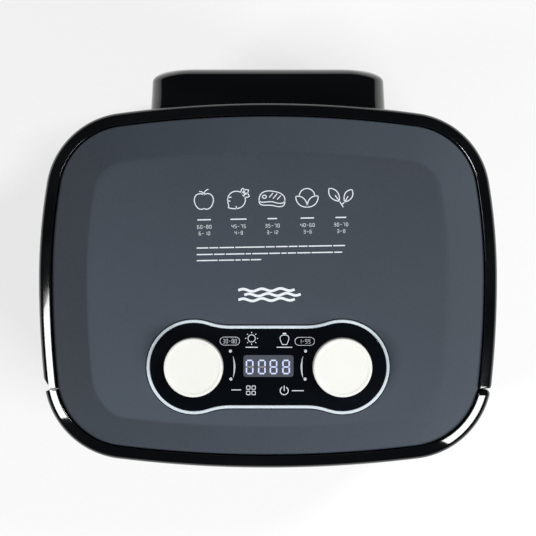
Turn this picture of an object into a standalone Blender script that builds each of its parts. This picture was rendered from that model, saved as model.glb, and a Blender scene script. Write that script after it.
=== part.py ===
"""Food dehydrator: rear-fan cabinet with a wrap-round door, five sliding trays and top controls.

Metres. +X is the user's right, +Y is the rear, +Z is up, and the origin is the middle of the
footprint at the height of the table. Each sub-part is one named object with its own material.
"""
import math

import bmesh
import bpy
import numpy as np
from mathutils import Matrix, Vector

# --- Driving dimensions ---------------------------------------------------------------------
BODY_HALF_WIDTH = 0.172
BODY_WIDEST_Y = -0.00915        # where the plan outline is widest
FRONT_ARCS = {"depth": 0.1421, "side": 0.762, "end": 0.925, "corner": 0.0637}
REAR_ARCS = {"depth": 0.1317, "side": 0.439, "end": 0.835, "corner": 0.0628}
GAP = 0.0003                    # clearance between pieces that touch

FOOT_TOP = 0.0057
BASE_BOTTOM = 0.006
BASE_TOP = 0.028
SHELL_BOTTOM = 0.010
RIM_TOP = 0.272
RIM_WIDTH = 0.0095
RIM_DEPTH = 0.014
RIM_ROUND = 0.0045
SHELL_WALL = 0.0025
COVER_INSET = 0.0103
COVER_EDGE_TOP = 0.2695
COVER_WALL = 0.0025
PLATEAU_INSET = 0.0387
PLATEAU_TOP = 0.2735

SPLIT_Y = -0.0915               # the shell ends and the door begins
JAMB_DEPTH = 0.009
HINGE_Y = SPLIT_Y - 0.0005 - RIM_WIDTH / 2
HINGE_LEVELS = (0.040, 0.222)   # lower edge of each hinge notch
HINGE_NOTCH = 0.016

CHAMBER_FLOOR = 0.0308
CHAMBER_CEILING = 0.232
CEILING_THICKNESS = 0.0025
TRAY_COUNT = 5
TRAY_PITCH = 0.036
TRAY_FIRST = 0.052
TRAY_HALF_WIDTH = 0.1485
TRAY_FRONT = -0.120
TRAY_REAR = 0.075
TRAY_HEIGHT = 0.004
TRAY_GRID = (9, 2)               # columns and rows of openings
DRIP_TRAY_BOTTOM = 0.0372
RACK_INNER_X = 0.1500
RACK_WALL = 0.0030
LEDGE_REACH = 0.0075
LEDGE_THICKNESS = 0.0024

FAN_Z = 0.132
FAN_RADIUS = 0.070
BLADES = 10
BLADE_LEAN = math.radians(28)
BAFFLE_Y = 0.0835
HEATER_RADIUS = 0.084
MOTOR_RADIUS = 0.029
HOUSING_REAR = 0.15125

KNOB_X = 0.0553
KNOB_Y = -0.0751
KNOB_RADIUS = 0.0221
KNOB_TOP = 0.288
PANEL_LOBE = 0.0353             # control panel: radius of the round ends
PANEL_WAIST = 0.0309            # half the depth between them
PANEL_STRAIGHT = 0.028          # half the length of the straight waist
BEZEL_WIDTH = 0.0023
POCKET_FLOOR = 0.2697
LENS_TOP = 0.2742
BEZEL_TOP = 0.2748
BOARD_Z = 0.2520
BOARD_THICKNESS = 0.0016
TOUCH_KEYS = {"mode": (-0.0125, -0.0925), "power": (0.0125, -0.0925)}
SHAFT_HOLE_RADIUS = 0.0045
SHAFT_RADIUS = 0.0030

PAD_X = 0.118                   # feet: half the distance across
PAD_ROWS = {"front": -0.112, "rear": 0.088}
WINDOW = (-0.112, 0.112, 0.034, 0.226)   # opening in the door: x, x, z, z
WINDOW_CORNER = 0.014
WINDOW_REBATE = 0.006
LUG_RADIUS = 0.0042
PIN_RADIUS = 0.0015
PIN_BORE_RADIUS = 0.0018
PIN_REACH = 0.005                # how far a pin stands out of its lug
CATCH_LEVELS = (0.120, 0.150)
GLAND_X, GLAND_Z = -0.110, 0.052
GLAND_HOLE_RADIUS = 0.0073
VENT_HALF_WIDTH, VENT_HALF_HEIGHT = 0.050, 0.032
VENT_SLOTS, VENT_SLOT_PITCH, VENT_SLOT_HEIGHT = 9, 0.0065, 0.0030
MOTOR_FRONT = 0.1148
BRACKET_FRONT = 0.1122

BLACK_GLOSS = ((0.006, 0.0065, 0.008), 0.12, 0.0)
ANTHRACITE = ((0.062, 0.078, 0.095), 0.62, 0.0)
SILVER = ((0.62, 0.66, 0.68), 0.25, 1.0)
WHITE = ((0.86, 0.86, 0.84), 0.35, 0.0)
STEEL = ((0.55, 0.56, 0.57), 0.30, 1.0)
DARK_PLASTIC = ((0.020, 0.021, 0.023), 0.55, 0.0)
SMOKE = ((0.03, 0.03, 0.035), 0.05, 0.0)
RUBBER = ((0.015, 0.015, 0.015), 0.85, 0.0)
CIRCUIT = ((0.02, 0.16, 0.07), 0.50, 0.0)
BRASS = ((0.70, 0.50, 0.20), 0.35, 1.0)

for old in list(bpy.data.objects):
    bpy.data.objects.remove(old, do_unlink=True)
PARTS = bpy.data.collections.new("food_dehydrator")
CUTTERS = bpy.data.collections.new("cutters")
bpy.context.scene.collection.children.link(PARTS)
bpy.context.scene.collection.children.link(CUTTERS)


# --- Plan outlines --------------------------------------------------------------------------
def arc(centre, radius, start, end, steps):
    """Points on an arc, without its last point."""
    angles = np.linspace(start, end, steps, endpoint=False)
    return [(centre[0] + radius * math.cos(a), centre[1] + radius * math.sin(a)) for a in angles]


def quarter(arcs, inset):
    """A quarter of the plan from the side to the end: side arc, corner arc, end arc."""
    side, end, corner = arcs["side"], arcs["end"], arcs["corner"]
    side_centre = np.array((BODY_HALF_WIDTH - side, 0.0))
    end_centre = np.array((0.0, arcs["depth"] - end))
    apart = np.linalg.norm(end_centre - side_centre)
    reach = ((side - corner) ** 2 - (end - corner) ** 2 + apart ** 2) / (2 * apart)
    along = (end_centre - side_centre) / apart
    across = np.array((-along[1], along[0])) * math.sqrt((side - corner) ** 2 - reach ** 2)
    choices = [side_centre + along * reach + across, side_centre + along * reach - across]
    centre = max(choices, key=lambda c: c.sum())
    turn_side = math.atan2(*(centre - side_centre)[::-1])
    turn_end = math.atan2(*(centre - end_centre)[::-1])
    points = arc(side_centre, side - inset, 0.0, turn_side, 4)
    points += arc(centre, corner - inset, turn_side, turn_end, 8)
    points += arc(end_centre, end - inset, turn_end, math.pi / 2, 4)
    return points + [(0.0, arcs["depth"] - inset)]


def plan(inset):
    """The body's bowed plan outline, moved inwards by inset, anticlockwise."""
    rear = quarter(REAR_ARCS, inset)
    front = quarter(FRONT_ARCS, inset)
    loop = rear + [(-x, y) for x, y in reversed(rear)][1:]
    loop += [(-x, -y) for x, y in front][1:]
    loop += [(x, -y) for x, y in reversed(front)][1:-1]
    return [(x, y + BODY_WIDEST_Y) for x, y in loop]


def plan_x(y, inset):
    """Half width of the body's plan at y, read off the front quarter of the outline."""
    points = sorted((py, px) for px, py in plan(inset) if px > 0 and py < BODY_WIDEST_Y)
    return float(np.interp(y, *zip(*points)))


def rounded_rectangle(x_low, x_high, y_low, y_high, radii, steps=5):
    """A rectangle whose corners have the radii (right top, left top, left bottom, right bottom)."""
    corners = [(x_high, y_high, -1, -1), (x_low, y_high, 1, -1), (x_low, y_low, 1, 1), (x_high, y_low, -1, 1)]
    points = []
    for turn, ((x, y, to_x, to_y), radius) in enumerate(zip(corners, radii)):
        start = turn * math.pi / 2
        centre = (x + to_x * radius, y + to_y * radius)
        points += arc(centre, radius, start, start + math.pi / 2, steps)
        points.append((centre[0] + radius * math.cos(start + math.pi / 2),
                       centre[1] + radius * math.sin(start + math.pi / 2)))
    return points


def rectangle(x_low, x_high, y_low, y_high):
    """Four corners, anticlockwise."""
    return [(x_low, y_low), (x_high, y_low), (x_high, y_high), (x_low, y_high)]


def circle(x, y, radius, steps=24):
    """Points on a full circle."""
    return arc((x, y), radius, 0.0, 2 * math.pi, steps)


def panel_outline(grow):
    """The control panel, grown outwards by grow: round ends, a straight waist and hollow arcs between."""
    lobe, waist = PANEL_LOBE + grow, PANEL_WAIST + grow
    offset = KNOB_X - PANEL_STRAIGHT
    hollow = (offset ** 2 + waist ** 2 - lobe ** 2) / (2 * (lobe - waist))
    lean = math.atan2(offset, waist + hollow)
    meet = math.pi / 2 + lean
    half = arc((KNOB_X, 0), lobe, 0.0, meet, 12)
    half += arc((PANEL_STRAIGHT, waist + hollow), hollow, lean - math.pi / 2, -math.pi / 2, 4)
    half.append((PANEL_STRAIGHT, waist))
    half += [(-x, y) for x, y in reversed(half)]
    loop = half + [(x, -y) for x, y in reversed(half)][1:-1]
    return [(x, y + KNOB_Y) for x, y in loop]


# --- Modelling tools ------------------------------------------------------------------------
def material(name, look):
    """A plain material with a colour, a roughness and a metallic value."""
    colour, roughness, metallic = look
    made = bpy.data.materials.new(name)
    made.use_nodes = True
    shader = made.node_tree.nodes["Principled BSDF"]
    shader.inputs["Base Color"].default_value = (*colour, 1.0)
    shader.inputs["Roughness"].default_value = roughness
    shader.inputs["Metallic"].default_value = metallic
    made.diffuse_color = (*colour, 1.0)
    return made


def adopt(name, mesh, look=None):
    """Put a mesh in the scene: a part if it has a look, otherwise a hidden cutter."""
    made = bpy.data.objects.new(name, mesh)
    (PARTS if look else CUTTERS).objects.link(made)
    if look:
        mesh.materials.clear()
        mesh.materials.append(material(name, look))
    else:
        made.hide_render = True
        made.display_type = "WIRE"
    return made


def curve_to_part(name, curve, look, turn=Matrix.Identity(4)):
    """Turn a curve into a closed mesh object and take the curve away."""
    guide = bpy.data.objects.new(name + "_curve", curve)
    bpy.context.scene.collection.objects.link(guide)
    bpy.context.view_layer.update()
    mesh = bpy.data.meshes.new_from_object(guide.evaluated_get(bpy.context.evaluated_depsgraph_get()))
    bpy.data.objects.remove(guide, do_unlink=True)
    solid = bmesh.new()
    solid.from_mesh(mesh)
    bmesh.ops.remove_doubles(solid, verts=solid.verts, dist=1e-6)
    bmesh.ops.recalc_face_normals(solid, faces=solid.faces)
    solid.transform(turn)
    solid.to_mesh(mesh)
    solid.free()
    return adopt(name, mesh, look)


def plate(name, loops, low, high, look=None, facing="Z"):
    """A flat outline, with any inner loops as holes, extruded from low to high along an axis."""
    curve = bpy.data.curves.new(name, "CURVE")
    curve.dimensions = "2D"
    curve.fill_mode = "BOTH"
    curve.extrude = (high - low) / 2
    for loop in loops:
        spline = curve.splines.new("POLY")
        spline.points.add(len(loop) - 1)
        spline.points.foreach_set("co", [v for x, y in loop for v in (x, y, 0.0, 1.0)])
        spline.use_cyclic_u = True
    middle = (low + high) / 2
    if facing == "Z":
        turn = Matrix.Translation((0, 0, middle))
    else:
        turn = Matrix.Translation((0, middle, 0)) @ Matrix.Rotation(math.pi / 2, 4, "X")
    return curve_to_part(name, curve, look, turn)


def wire(name, points, radius, look, closed=False):
    """A round wire along points."""
    curve = bpy.data.curves.new(name, "CURVE")
    curve.dimensions = "3D"
    curve.bevel_depth = radius
    curve.bevel_resolution = 2
    curve.use_fill_caps = True
    spline = curve.splines.new("POLY")
    spline.points.add(len(points) - 1)
    spline.points.foreach_set("co", [v for point in points for v in (*point, 1.0)])
    spline.use_cyclic_u = closed
    made = curve_to_part(name, curve, look)
    made.data.shade_smooth()
    return made


def box(name, low, high, look=None):
    """A box between two corners."""
    solid = bmesh.new()
    low, high = Vector(low), Vector(high)
    bmesh.ops.create_cube(solid, size=1.0, matrix=Matrix.Translation((low + high) / 2)
                          @ Matrix.Diagonal((*(high - low), 1.0)))
    mesh = bpy.data.meshes.new(name)
    solid.to_mesh(mesh)
    solid.free()
    return adopt(name, mesh, look)


def cylinder(name, start, end, radius, look=None, sides=24):
    """A cylinder between two points."""
    start, end = Vector(start), Vector(end)
    solid = bmesh.new()
    turn = (end - start).to_track_quat("Z", "Y").to_matrix().to_4x4()
    bmesh.ops.create_cone(solid, cap_ends=True, segments=sides, radius1=radius, radius2=radius,
                          depth=(end - start).length, matrix=Matrix.Translation((start + end) / 2) @ turn)
    mesh = bpy.data.meshes.new(name)
    solid.to_mesh(mesh)
    solid.free()
    return adopt(name, mesh, look)


def turned(name, profile, look, place, steps=32, axis="Z"):
    """A turned shape: (radius, height) points down the outside, spun round an axis."""
    mesh = bpy.data.meshes.new(name)
    edges = [(i, i + 1) for i in range(len(profile) - 1)]
    if profile[0][0] > 0:
        edges.append((len(profile) - 1, 0))
    mesh.from_pydata([(r, 0, z) for r, z in profile], edges, [])
    made = adopt(name, mesh, look)
    made.location = place
    made.rotation_euler = {"Z": (0, 0, 0), "Y": (-math.pi / 2, 0, 0), "-Y": (math.pi / 2, 0, 0)}[axis]
    screw = made.modifiers.new("turn", "SCREW")
    screw.steps = screw.render_steps = steps
    screw.use_merge_vertices = True
    screw.merge_threshold = 1e-5
    return made


def loft(name, rings, look=None):
    """A closed skin over rings of the same number of points, capped at both ends."""
    count = len(rings[0])
    points = [p for ring in rings for p in ring]
    faces = [tuple(reversed(range(count)))]
    for level in range(len(rings) - 1):
        for i in range(count):
            j = (i + 1) % count
            low, high = level * count, (level + 1) * count
            faces.append((low + i, low + j, high + j, high + i))
    faces.append(tuple(range((len(rings) - 1) * count, len(rings) * count)))
    mesh = bpy.data.meshes.new(name)
    mesh.from_pydata(points, [], faces)
    solid = bmesh.new()
    solid.from_mesh(mesh)
    bmesh.ops.recalc_face_normals(solid, faces=solid.faces)
    solid.to_mesh(mesh)
    solid.free()
    return adopt(name, mesh, look)


def combine(target, other, operation):
    """Cut, join or intersect a part with another shape by an exact Boolean."""
    step = target.modifiers.new(operation.lower(), "BOOLEAN")
    step.operation = operation
    step.solver = "EXACT"
    step.object = other
    return target


def cut(target, *others):
    """Take shapes away from a part."""
    for other in others:
        combine(target, other, "DIFFERENCE")
    return target


def join(target, *others):
    """Add shapes to a part."""
    for other in others:
        combine(target, other, "UNION")
    return target


def keep(target, other):
    """Keep only what lies inside another shape."""
    return combine(target, other, "INTERSECT")


def round_top(target, radius, segments):
    """Round the part's edges that lie in its top plane."""
    mesh = target.data
    top = max(v.co.z for v in mesh.vertices)
    solid = bmesh.new()
    solid.from_mesh(mesh)
    layer = solid.edges.layers.float.new("bevel_weight_edge")
    for edge in solid.edges:
        level = all(abs(v.co.z - top) < 1e-6 for v in edge.verts)
        if level and edge.calc_face_angle(0.0) > math.radians(45):
            edge[layer] = 1.0
    solid.to_mesh(mesh)
    solid.free()
    bevel = target.modifiers.new("round", "BEVEL")
    bevel.limit_method = "WEIGHT"
    bevel.width = radius
    bevel.segments = segments
    return target


def parent_to(axis_empty, *parts):
    """Parent parts to the empty on their joint's axis without moving them."""
    for part in parts:
        part.parent = axis_empty
        part.matrix_parent_inverse = axis_empty.matrix_world.inverted()


def axis_empty(name, place):
    """An empty on a joint's axis."""
    made = bpy.data.objects.new(name, None)
    made.location = place
    PARTS.objects.link(made)
    bpy.context.view_layer.update()
    return made


# --- Casing ---------------------------------------------------------------------------------
HINGE_X = plan_x(HINGE_Y, RIM_WIDTH / 2)
WIDE = 0.2                      # cutters reach this far past the body


def band(name, outer, inner, low, high, look=None):
    """A ring that follows the plan between two insets."""
    return plate(name, [plan(outer), plan(inner)], low, high, look)


def outer_shell():
    """The gloss shell round the sides and back: thin wall, rolled rim, and a jamb at each end."""
    shell = round_top(band("outer_shell", 0.0, RIM_WIDTH, SHELL_BOTTOM, RIM_TOP, BLACK_GLOSS), RIM_ROUND, 3)
    front = box("shell_front_cutter", (-WIDE, -WIDE, -0.1), (WIDE, SPLIT_Y, WIDE * 2))
    pocket = plate("shell_pocket_cutter", [plan(SHELL_WALL)], SHELL_BOTTOM + 0.003, RIM_TOP - RIM_DEPTH)
    jambs = box("jamb_saver", (-WIDE, -WIDE, -0.1), (WIDE, SPLIT_Y + JAMB_DEPTH, WIDE * 2))
    cut(pocket, jambs)
    cut(shell, front, pocket)
    grip_x = -plan_x(SPLIT_Y, 0.0)
    grip_loop = [(grip_x - 0.002, SPLIT_Y - 0.002), (grip_x + 0.0052, SPLIT_Y - 0.002),
                 (grip_x + 0.0044, SPLIT_Y), (grip_x - 0.0008, SPLIT_Y + 0.0068),
                 (grip_x - 0.002, SPLIT_Y + 0.0068)]
    grip = plate("finger_grip_cutter", [grip_loop], -0.01, WIDE * 2)
    edge_x = plan_x(SPLIT_Y, 0.0)
    edge_loop = [(edge_x + 0.002, SPLIT_Y - 0.001), (edge_x + 0.002, SPLIT_Y + 0.0035),
                 (edge_x - 0.0006, SPLIT_Y + 0.0008), (edge_x - 0.0016, SPLIT_Y - 0.001)]
    edge = plate("hinge_edge_cutter", [edge_loop], -0.01, WIDE * 2)
    motor_hole = cylinder("motor_hole_cutter", (0, 0.10, FAN_Z), (0, 0.14, FAN_Z), MOTOR_RADIUS + 0.003)
    gland_hole = cylinder("gland_hole_cutter", (GLAND_X, 0.10, GLAND_Z), (GLAND_X, 0.14, GLAND_Z),
                          GLAND_HOLE_RADIUS)
    cut(shell, grip, edge, motor_hole, gland_hole)
    for number, level in enumerate(HINGE_LEVELS, 1):
        cut(shell, box(f"lug_slot_cutter_{number}", (HINGE_X - 0.0028, SPLIT_Y - 0.001, level - 0.0003),
                       (HINGE_X + 0.0028, SPLIT_Y + 0.0055, level + HINGE_NOTCH + 0.0003)))
    magnet_x = -plan_x(SPLIT_Y, RIM_WIDTH / 2 + 0.0008)
    cut(shell, box("magnet_pocket_cutter", (magnet_x - 0.0018, SPLIT_Y - 0.001, CATCH_LEVELS[0] - GAP),
                   (magnet_x + 0.0032, SPLIT_Y + 0.0048, CATCH_LEVELS[1] + GAP)))
    box("catch_magnet", (magnet_x - 0.0015, SPLIT_Y + 0.0002, CATCH_LEVELS[0]),
        (magnet_x + 0.0029, SPLIT_Y + 0.0045, CATCH_LEVELS[1]), STEEL)
    return shell


def base():
    """The base pan with its hollow, the chamber floor above it and four rubber feet."""
    pan = plate("base_pan", [plan(COVER_INSET)], BASE_BOTTOM, BASE_TOP, DARK_PLASTIC)
    cut(pan, plate("base_pan_cutter", [plan(COVER_INSET + 0.003)], BASE_BOTTOM + 0.003, BASE_TOP + 0.01))
    plate("chamber_floor", [plan(COVER_INSET)], BASE_TOP + GAP, CHAMBER_FLOOR, STEEL)
    for row, y in PAD_ROWS.items():
        for side, x in (("left", -PAD_X), ("right", PAD_X)):
            profile = [(0.0, FOOT_TOP), (0.009, FOOT_TOP), (0.010, 0.0015), (0.0085, 0.0), (0.0, 0.0)]
            turned(f"foot_{row}_{side}", profile, RUBBER, (x, y, 0), steps=20)


def cover():
    """The top cover: an upturned tub with a raised field and a pocket for the control panel."""
    made = plate("top_cover", [plan(COVER_INSET)], CHAMBER_CEILING + CEILING_THICKNESS + GAP,
                 COVER_EDGE_TOP, ANTHRACITE)
    hollow = plate("cover_hollow_cutter", [plan(COVER_INSET + COVER_WALL)], CHAMBER_CEILING - 0.01,
                   COVER_EDGE_TOP - COVER_WALL)
    field = plate("cover_field", [plan(PLATEAU_INSET)], COVER_EDGE_TOP - 0.001, PLATEAU_TOP)
    field = round_top(field, 0.0038, 3)
    pocket = plate("panel_pocket_cutter", [panel_outline(GAP)], POCKET_FLOOR, PLATEAU_TOP + 0.01)
    window = box("display_hole_cutter", (-0.0205, KNOB_Y - 0.0125, 0.26), (0.0205, KNOB_Y + 0.0125, 0.28))
    cut(made, hollow)
    join(made, field)
    cut(made, pocket, window)
    for side in (-1, 1):
        cut(made, cylinder(f"cover_shaft_cutter_{side + 2}", (side * KNOB_X, KNOB_Y, 0.26),
                           (side * KNOB_X, KNOB_Y, 0.28), SHAFT_HOLE_RADIUS))
    plate("chamber_ceiling", [plan(COVER_INSET)], CHAMBER_CEILING, CHAMBER_CEILING + CEILING_THICKNESS, STEEL)


# --- Rear housing, motor and cord entry -----------------------------------------------------
def housing_section(y, half_width, low, high, top_radius, bottom_radius):
    """One cross-section of the rear housing at y."""
    loop = rounded_rectangle(-half_width, half_width, low, high,
                             (top_radius, top_radius, bottom_radius, bottom_radius), 5)
    return [(x, y, z) for x, z in loop]


def rear_housing():
    """The gloss box that stands out behind: long rounded shoulders, sloping top, open to the body."""
    wall = 0.0025
    outside = [housing_section(HOUSING_REAR, 0.074, 0.058, 0.2290, 0.014, 0.006),
               housing_section(HOUSING_REAR - 0.0010, 0.080, 0.053, 0.2345, 0.018, 0.008),
               housing_section(HOUSING_REAR - 0.0040, 0.0855, 0.048, 0.2400, 0.021, 0.010),
               housing_section(HOUSING_REAR - 0.0095, 0.0882, 0.045, 0.2440, 0.023, 0.012),
               housing_section(0.105, 0.0905, 0.043, 0.2560, 0.024, 0.013)]
    inside = [[(x * 0.972, y, FAN_Z + (z - FAN_Z) * 0.974) for x, y, z in ring] for ring in reversed(outside)]
    inside = inside[:-2] + [[(x, HOUSING_REAR - wall, z) for x, y, z in inside[-2]]]
    made = loft("rear_housing", outside + inside, BLACK_GLOSS)
    cut(made, plate("body_volume_cutter", [plan(-GAP)], 0.0, 0.3))
    hole_x, hole_z = VENT_HALF_WIDTH + GAP, VENT_HALF_HEIGHT + GAP
    cut(made, box("vent_hole_cutter", (-hole_x, 0.14, FAN_Z - hole_z), (hole_x, 0.16, FAN_Z + hole_z)))
    slots = []
    for number in range(VENT_SLOTS):
        middle = FAN_Z + (number - (VENT_SLOTS - 1) / 2) * VENT_SLOT_PITCH
        slots.append(rectangle(-0.045, 0.045, middle - VENT_SLOT_HEIGHT / 2, middle + VENT_SLOT_HEIGHT / 2))
    edge = rectangle(-VENT_HALF_WIDTH, VENT_HALF_WIDTH, FAN_Z - VENT_HALF_HEIGHT, FAN_Z + VENT_HALF_HEIGHT)
    plate("rear_vent_grille", [edge] + slots,
          HOUSING_REAR - 0.0027, HOUSING_REAR - 0.0007, DARK_PLASTIC, facing="Y")
    profile = [(0.0070, 0.0140), (0.0090, 0.0135), (0.0095, 0.0105), (0.0095, 0.0095), (0.0070, 0.0095),
               (0.0070, 0.0), (0.0036, 0.0), (0.0036, 0.0140)]
    turned("cord_gland", profile, RUBBER, (GLAND_X, 0.1073, GLAND_Z), steps=20, axis="Y")


def fan():
    """Impeller and shaft, the motor behind them, and the parts that carry the motor."""
    plate("heat_shield", [rectangle(-0.100, 0.100, 0.045, 0.220), circle(0, FAN_Z, 0.012)],
          0.1110, 0.1118, STEEL, facing="Y")
    plate("motor_bracket", [circle(0, FAN_Z, 0.038, 32), circle(0, FAN_Z, 0.0083)],
          BRACKET_FRONT, BRACKET_FRONT + 0.0020, STEEL, facing="Y")
    turned("motor_bearing", [(0.0030, 0.0020), (0.0080, 0.0020), (0.0080, 0.0), (0.0030, 0.0)], BRASS,
           (0, BRACKET_FRONT, FAN_Z), axis="Y")
    can = [(0.0, 0.0285), (0.021, 0.0285), (MOTOR_RADIUS, 0.0245), (MOTOR_RADIUS, 0.0), (0.0, 0.0)]
    turned("motor_body", can, STEEL, (0, MOTOR_FRONT, FAN_Z), axis="Y")
    disc = [(0.0028, 0.0170), (0.0090, 0.0170), (0.0090, 0.0012),
            (FAN_RADIUS, 0.0012), (FAN_RADIUS, 0.0), (0.0028, 0.0)]
    wheel = turned("fan_impeller", disc, STEEL, (0, 0.1085, FAN_Z), axis="-Y")
    for number in range(BLADES):
        blade = box(f"blade_{number + 1}", (-0.015, -0.0006, 0.0006), (0.015, 0.0006, 0.0165))
        blade.data.transform(wheel.matrix_basis @ Matrix.Rotation(number * math.tau / BLADES, 4, "Z")
                             @ Matrix.Translation((0.052, 0, 0)) @ Matrix.Rotation(BLADE_LEAN, 4, "Z"))
        join(wheel, blade)
    shaft = cylinder("motor_shaft", (0, 0.0895, FAN_Z), (0, 0.1144, FAN_Z), 0.0025, STEEL, sides=20)
    parent_to(axis_empty("fan_axis", (0, 0.10, FAN_Z)), wheel, shaft)


def heater():
    """Ring heater round the impeller, its clips, the cut-out and the air temperature probe."""
    turn_points = [(HEATER_RADIUS * math.sin(a), 0.0990, FAN_Z - HEATER_RADIUS * math.cos(a))
                   for a in np.linspace(math.radians(12), math.radians(348), 40)]
    first, last = turn_points[0], turn_points[-1]
    lead_in = [(first[0], 0.1060, first[2] - 0.006), (first[0], 0.1010, first[2] - 0.003)]
    lead_out = [(last[0], 0.1010, last[2] - 0.003), (last[0], 0.1060, last[2] - 0.006)]
    wire("heater_element", lead_in + turn_points + lead_out, 0.0031, STEEL)
    for side, x in (("left", -HEATER_RADIUS), ("right", HEATER_RADIUS)):
        clip = box(f"heater_clip_{side}", (x - 0.0065, 0.0945, FAN_Z - 0.006),
                   (x + 0.0065, 0.1106, FAN_Z + 0.006), STEEL)
        cut(clip, box(f"heater_clip_{side}_cutter", (x - 0.0036, 0.090, FAN_Z - 0.01),
                      (x + 0.0036, 0.1025, FAN_Z + 0.01)))
    turned("thermal_cutout", [(0.0, 0.008), (0.0075, 0.008), (0.0075, 0.0), (0.0, 0.0)], BRASS,
           (0.060, 0.1025, 0.206), steps=20, axis="Y")
    wire("temperature_probe", [(-0.050, 0.0800, 0.214), (-0.050, 0.0950, 0.214), (-0.050, 0.1105, 0.214)],
         0.0020, STEEL)


# --- Chamber --------------------------------------------------------------------------------
def tray_levels():
    """Height of each tray's underside, lowest first."""
    return [TRAY_FIRST + number * TRAY_PITCH for number in range(TRAY_COUNT)]


def tray_outline(inset):
    """Tray plan: large front corners that follow the door, small rear corners."""
    front_radius, rear_radius = 0.045 - inset, 0.010 - inset
    return rounded_rectangle(-TRAY_HALF_WIDTH + inset, TRAY_HALF_WIDTH - inset, TRAY_FRONT + inset,
                             TRAY_REAR - inset, (rear_radius, rear_radius, front_radius, front_radius))


def chamber():
    """Side racks with a ledge for each tray, and the slotted rear baffle."""
    for side, sign in (("left", -1), ("right", 1)):
        low, high = sorted((sign * RACK_INNER_X, sign * (RACK_INNER_X + RACK_WALL)))
        rack = box(f"side_rack_{side}", (low, -0.088, CHAMBER_FLOOR + GAP),
                   (high, BAFFLE_Y - 0.0005, CHAMBER_CEILING - GAP), STEEL)
        for number, level in enumerate([DRIP_TRAY_BOTTOM] + tray_levels()):
            near, far = sorted((sign * (RACK_INNER_X - LEDGE_REACH), sign * (RACK_INNER_X + 0.001)))
            top = level - GAP
            ledge = box(f"ledge_{side}_{number}", (near, -0.084, top - LEDGE_THICKNESS), (far, 0.079, top))
            join(rack, ledge)
    holes = [rectangle(x - 0.0165, x + 0.0165, z - 0.003, z + 0.003)
             for x in (-0.125, -0.085, 0.085, 0.125) for z in [level + 0.016 for level in tray_levels()]]
    holes += [rectangle(x - 0.0025, x + 0.0025, FAN_Z - reach, FAN_Z + reach)
              for x, reach in [(i * 0.011, 0.045 - abs(i) * 0.006) for i in range(-4, 5)]]
    holes.append(circle(-0.050, 0.214, 0.0026, 12))
    plate("rear_baffle", [rectangle(-0.1495, 0.1495, CHAMBER_FLOOR + GAP, CHAMBER_CEILING - GAP)] + holes,
          BAFFLE_Y, BAFFLE_Y + 0.0015, STEEL, facing="Y")


def trays():
    """Five grating trays and the drip tray under them, each with its own slide."""
    columns, rows = TRAY_GRID
    inside = 0.009
    width, depth = 2 * (TRAY_HALF_WIDTH - inside), TRAY_REAR - TRAY_FRONT - 2 * inside
    bar = 0.003
    cells = []
    for column in range(columns):
        for row in range(rows):
            x_low = -width / 2 + column * width / columns + bar / 2
            y_low = TRAY_FRONT + inside + row * depth / rows + bar / 2
            trimmed = 0.016 if row == 0 and column in (0, columns - 1) else 0.0
            cells.append(rectangle(x_low, x_low + width / columns - bar,
                                   y_low + trimmed, y_low + depth / rows - bar))
    for number, level in enumerate(tray_levels(), 1):
        tray = plate(f"tray_{number}", [tray_outline(0.0)] + cells, level, level + TRAY_HEIGHT, STEEL)
        parent_to(axis_empty(f"tray_{number}_axis", (0, TRAY_FRONT, level)), tray)
    drip = plate("drip_tray", [tray_outline(0.0)], DRIP_TRAY_BOTTOM, DRIP_TRAY_BOTTOM + 0.009, STEEL)
    wall = 0.0015
    hollow = plate("drip_tray_cutter", [tray_outline(wall)], DRIP_TRAY_BOTTOM + wall, DRIP_TRAY_BOTTOM + 0.02)
    cut(drip, hollow)
    parent_to(axis_empty("drip_tray_axis", (0, TRAY_FRONT, DRIP_TRAY_BOTTOM)), drip)


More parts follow.
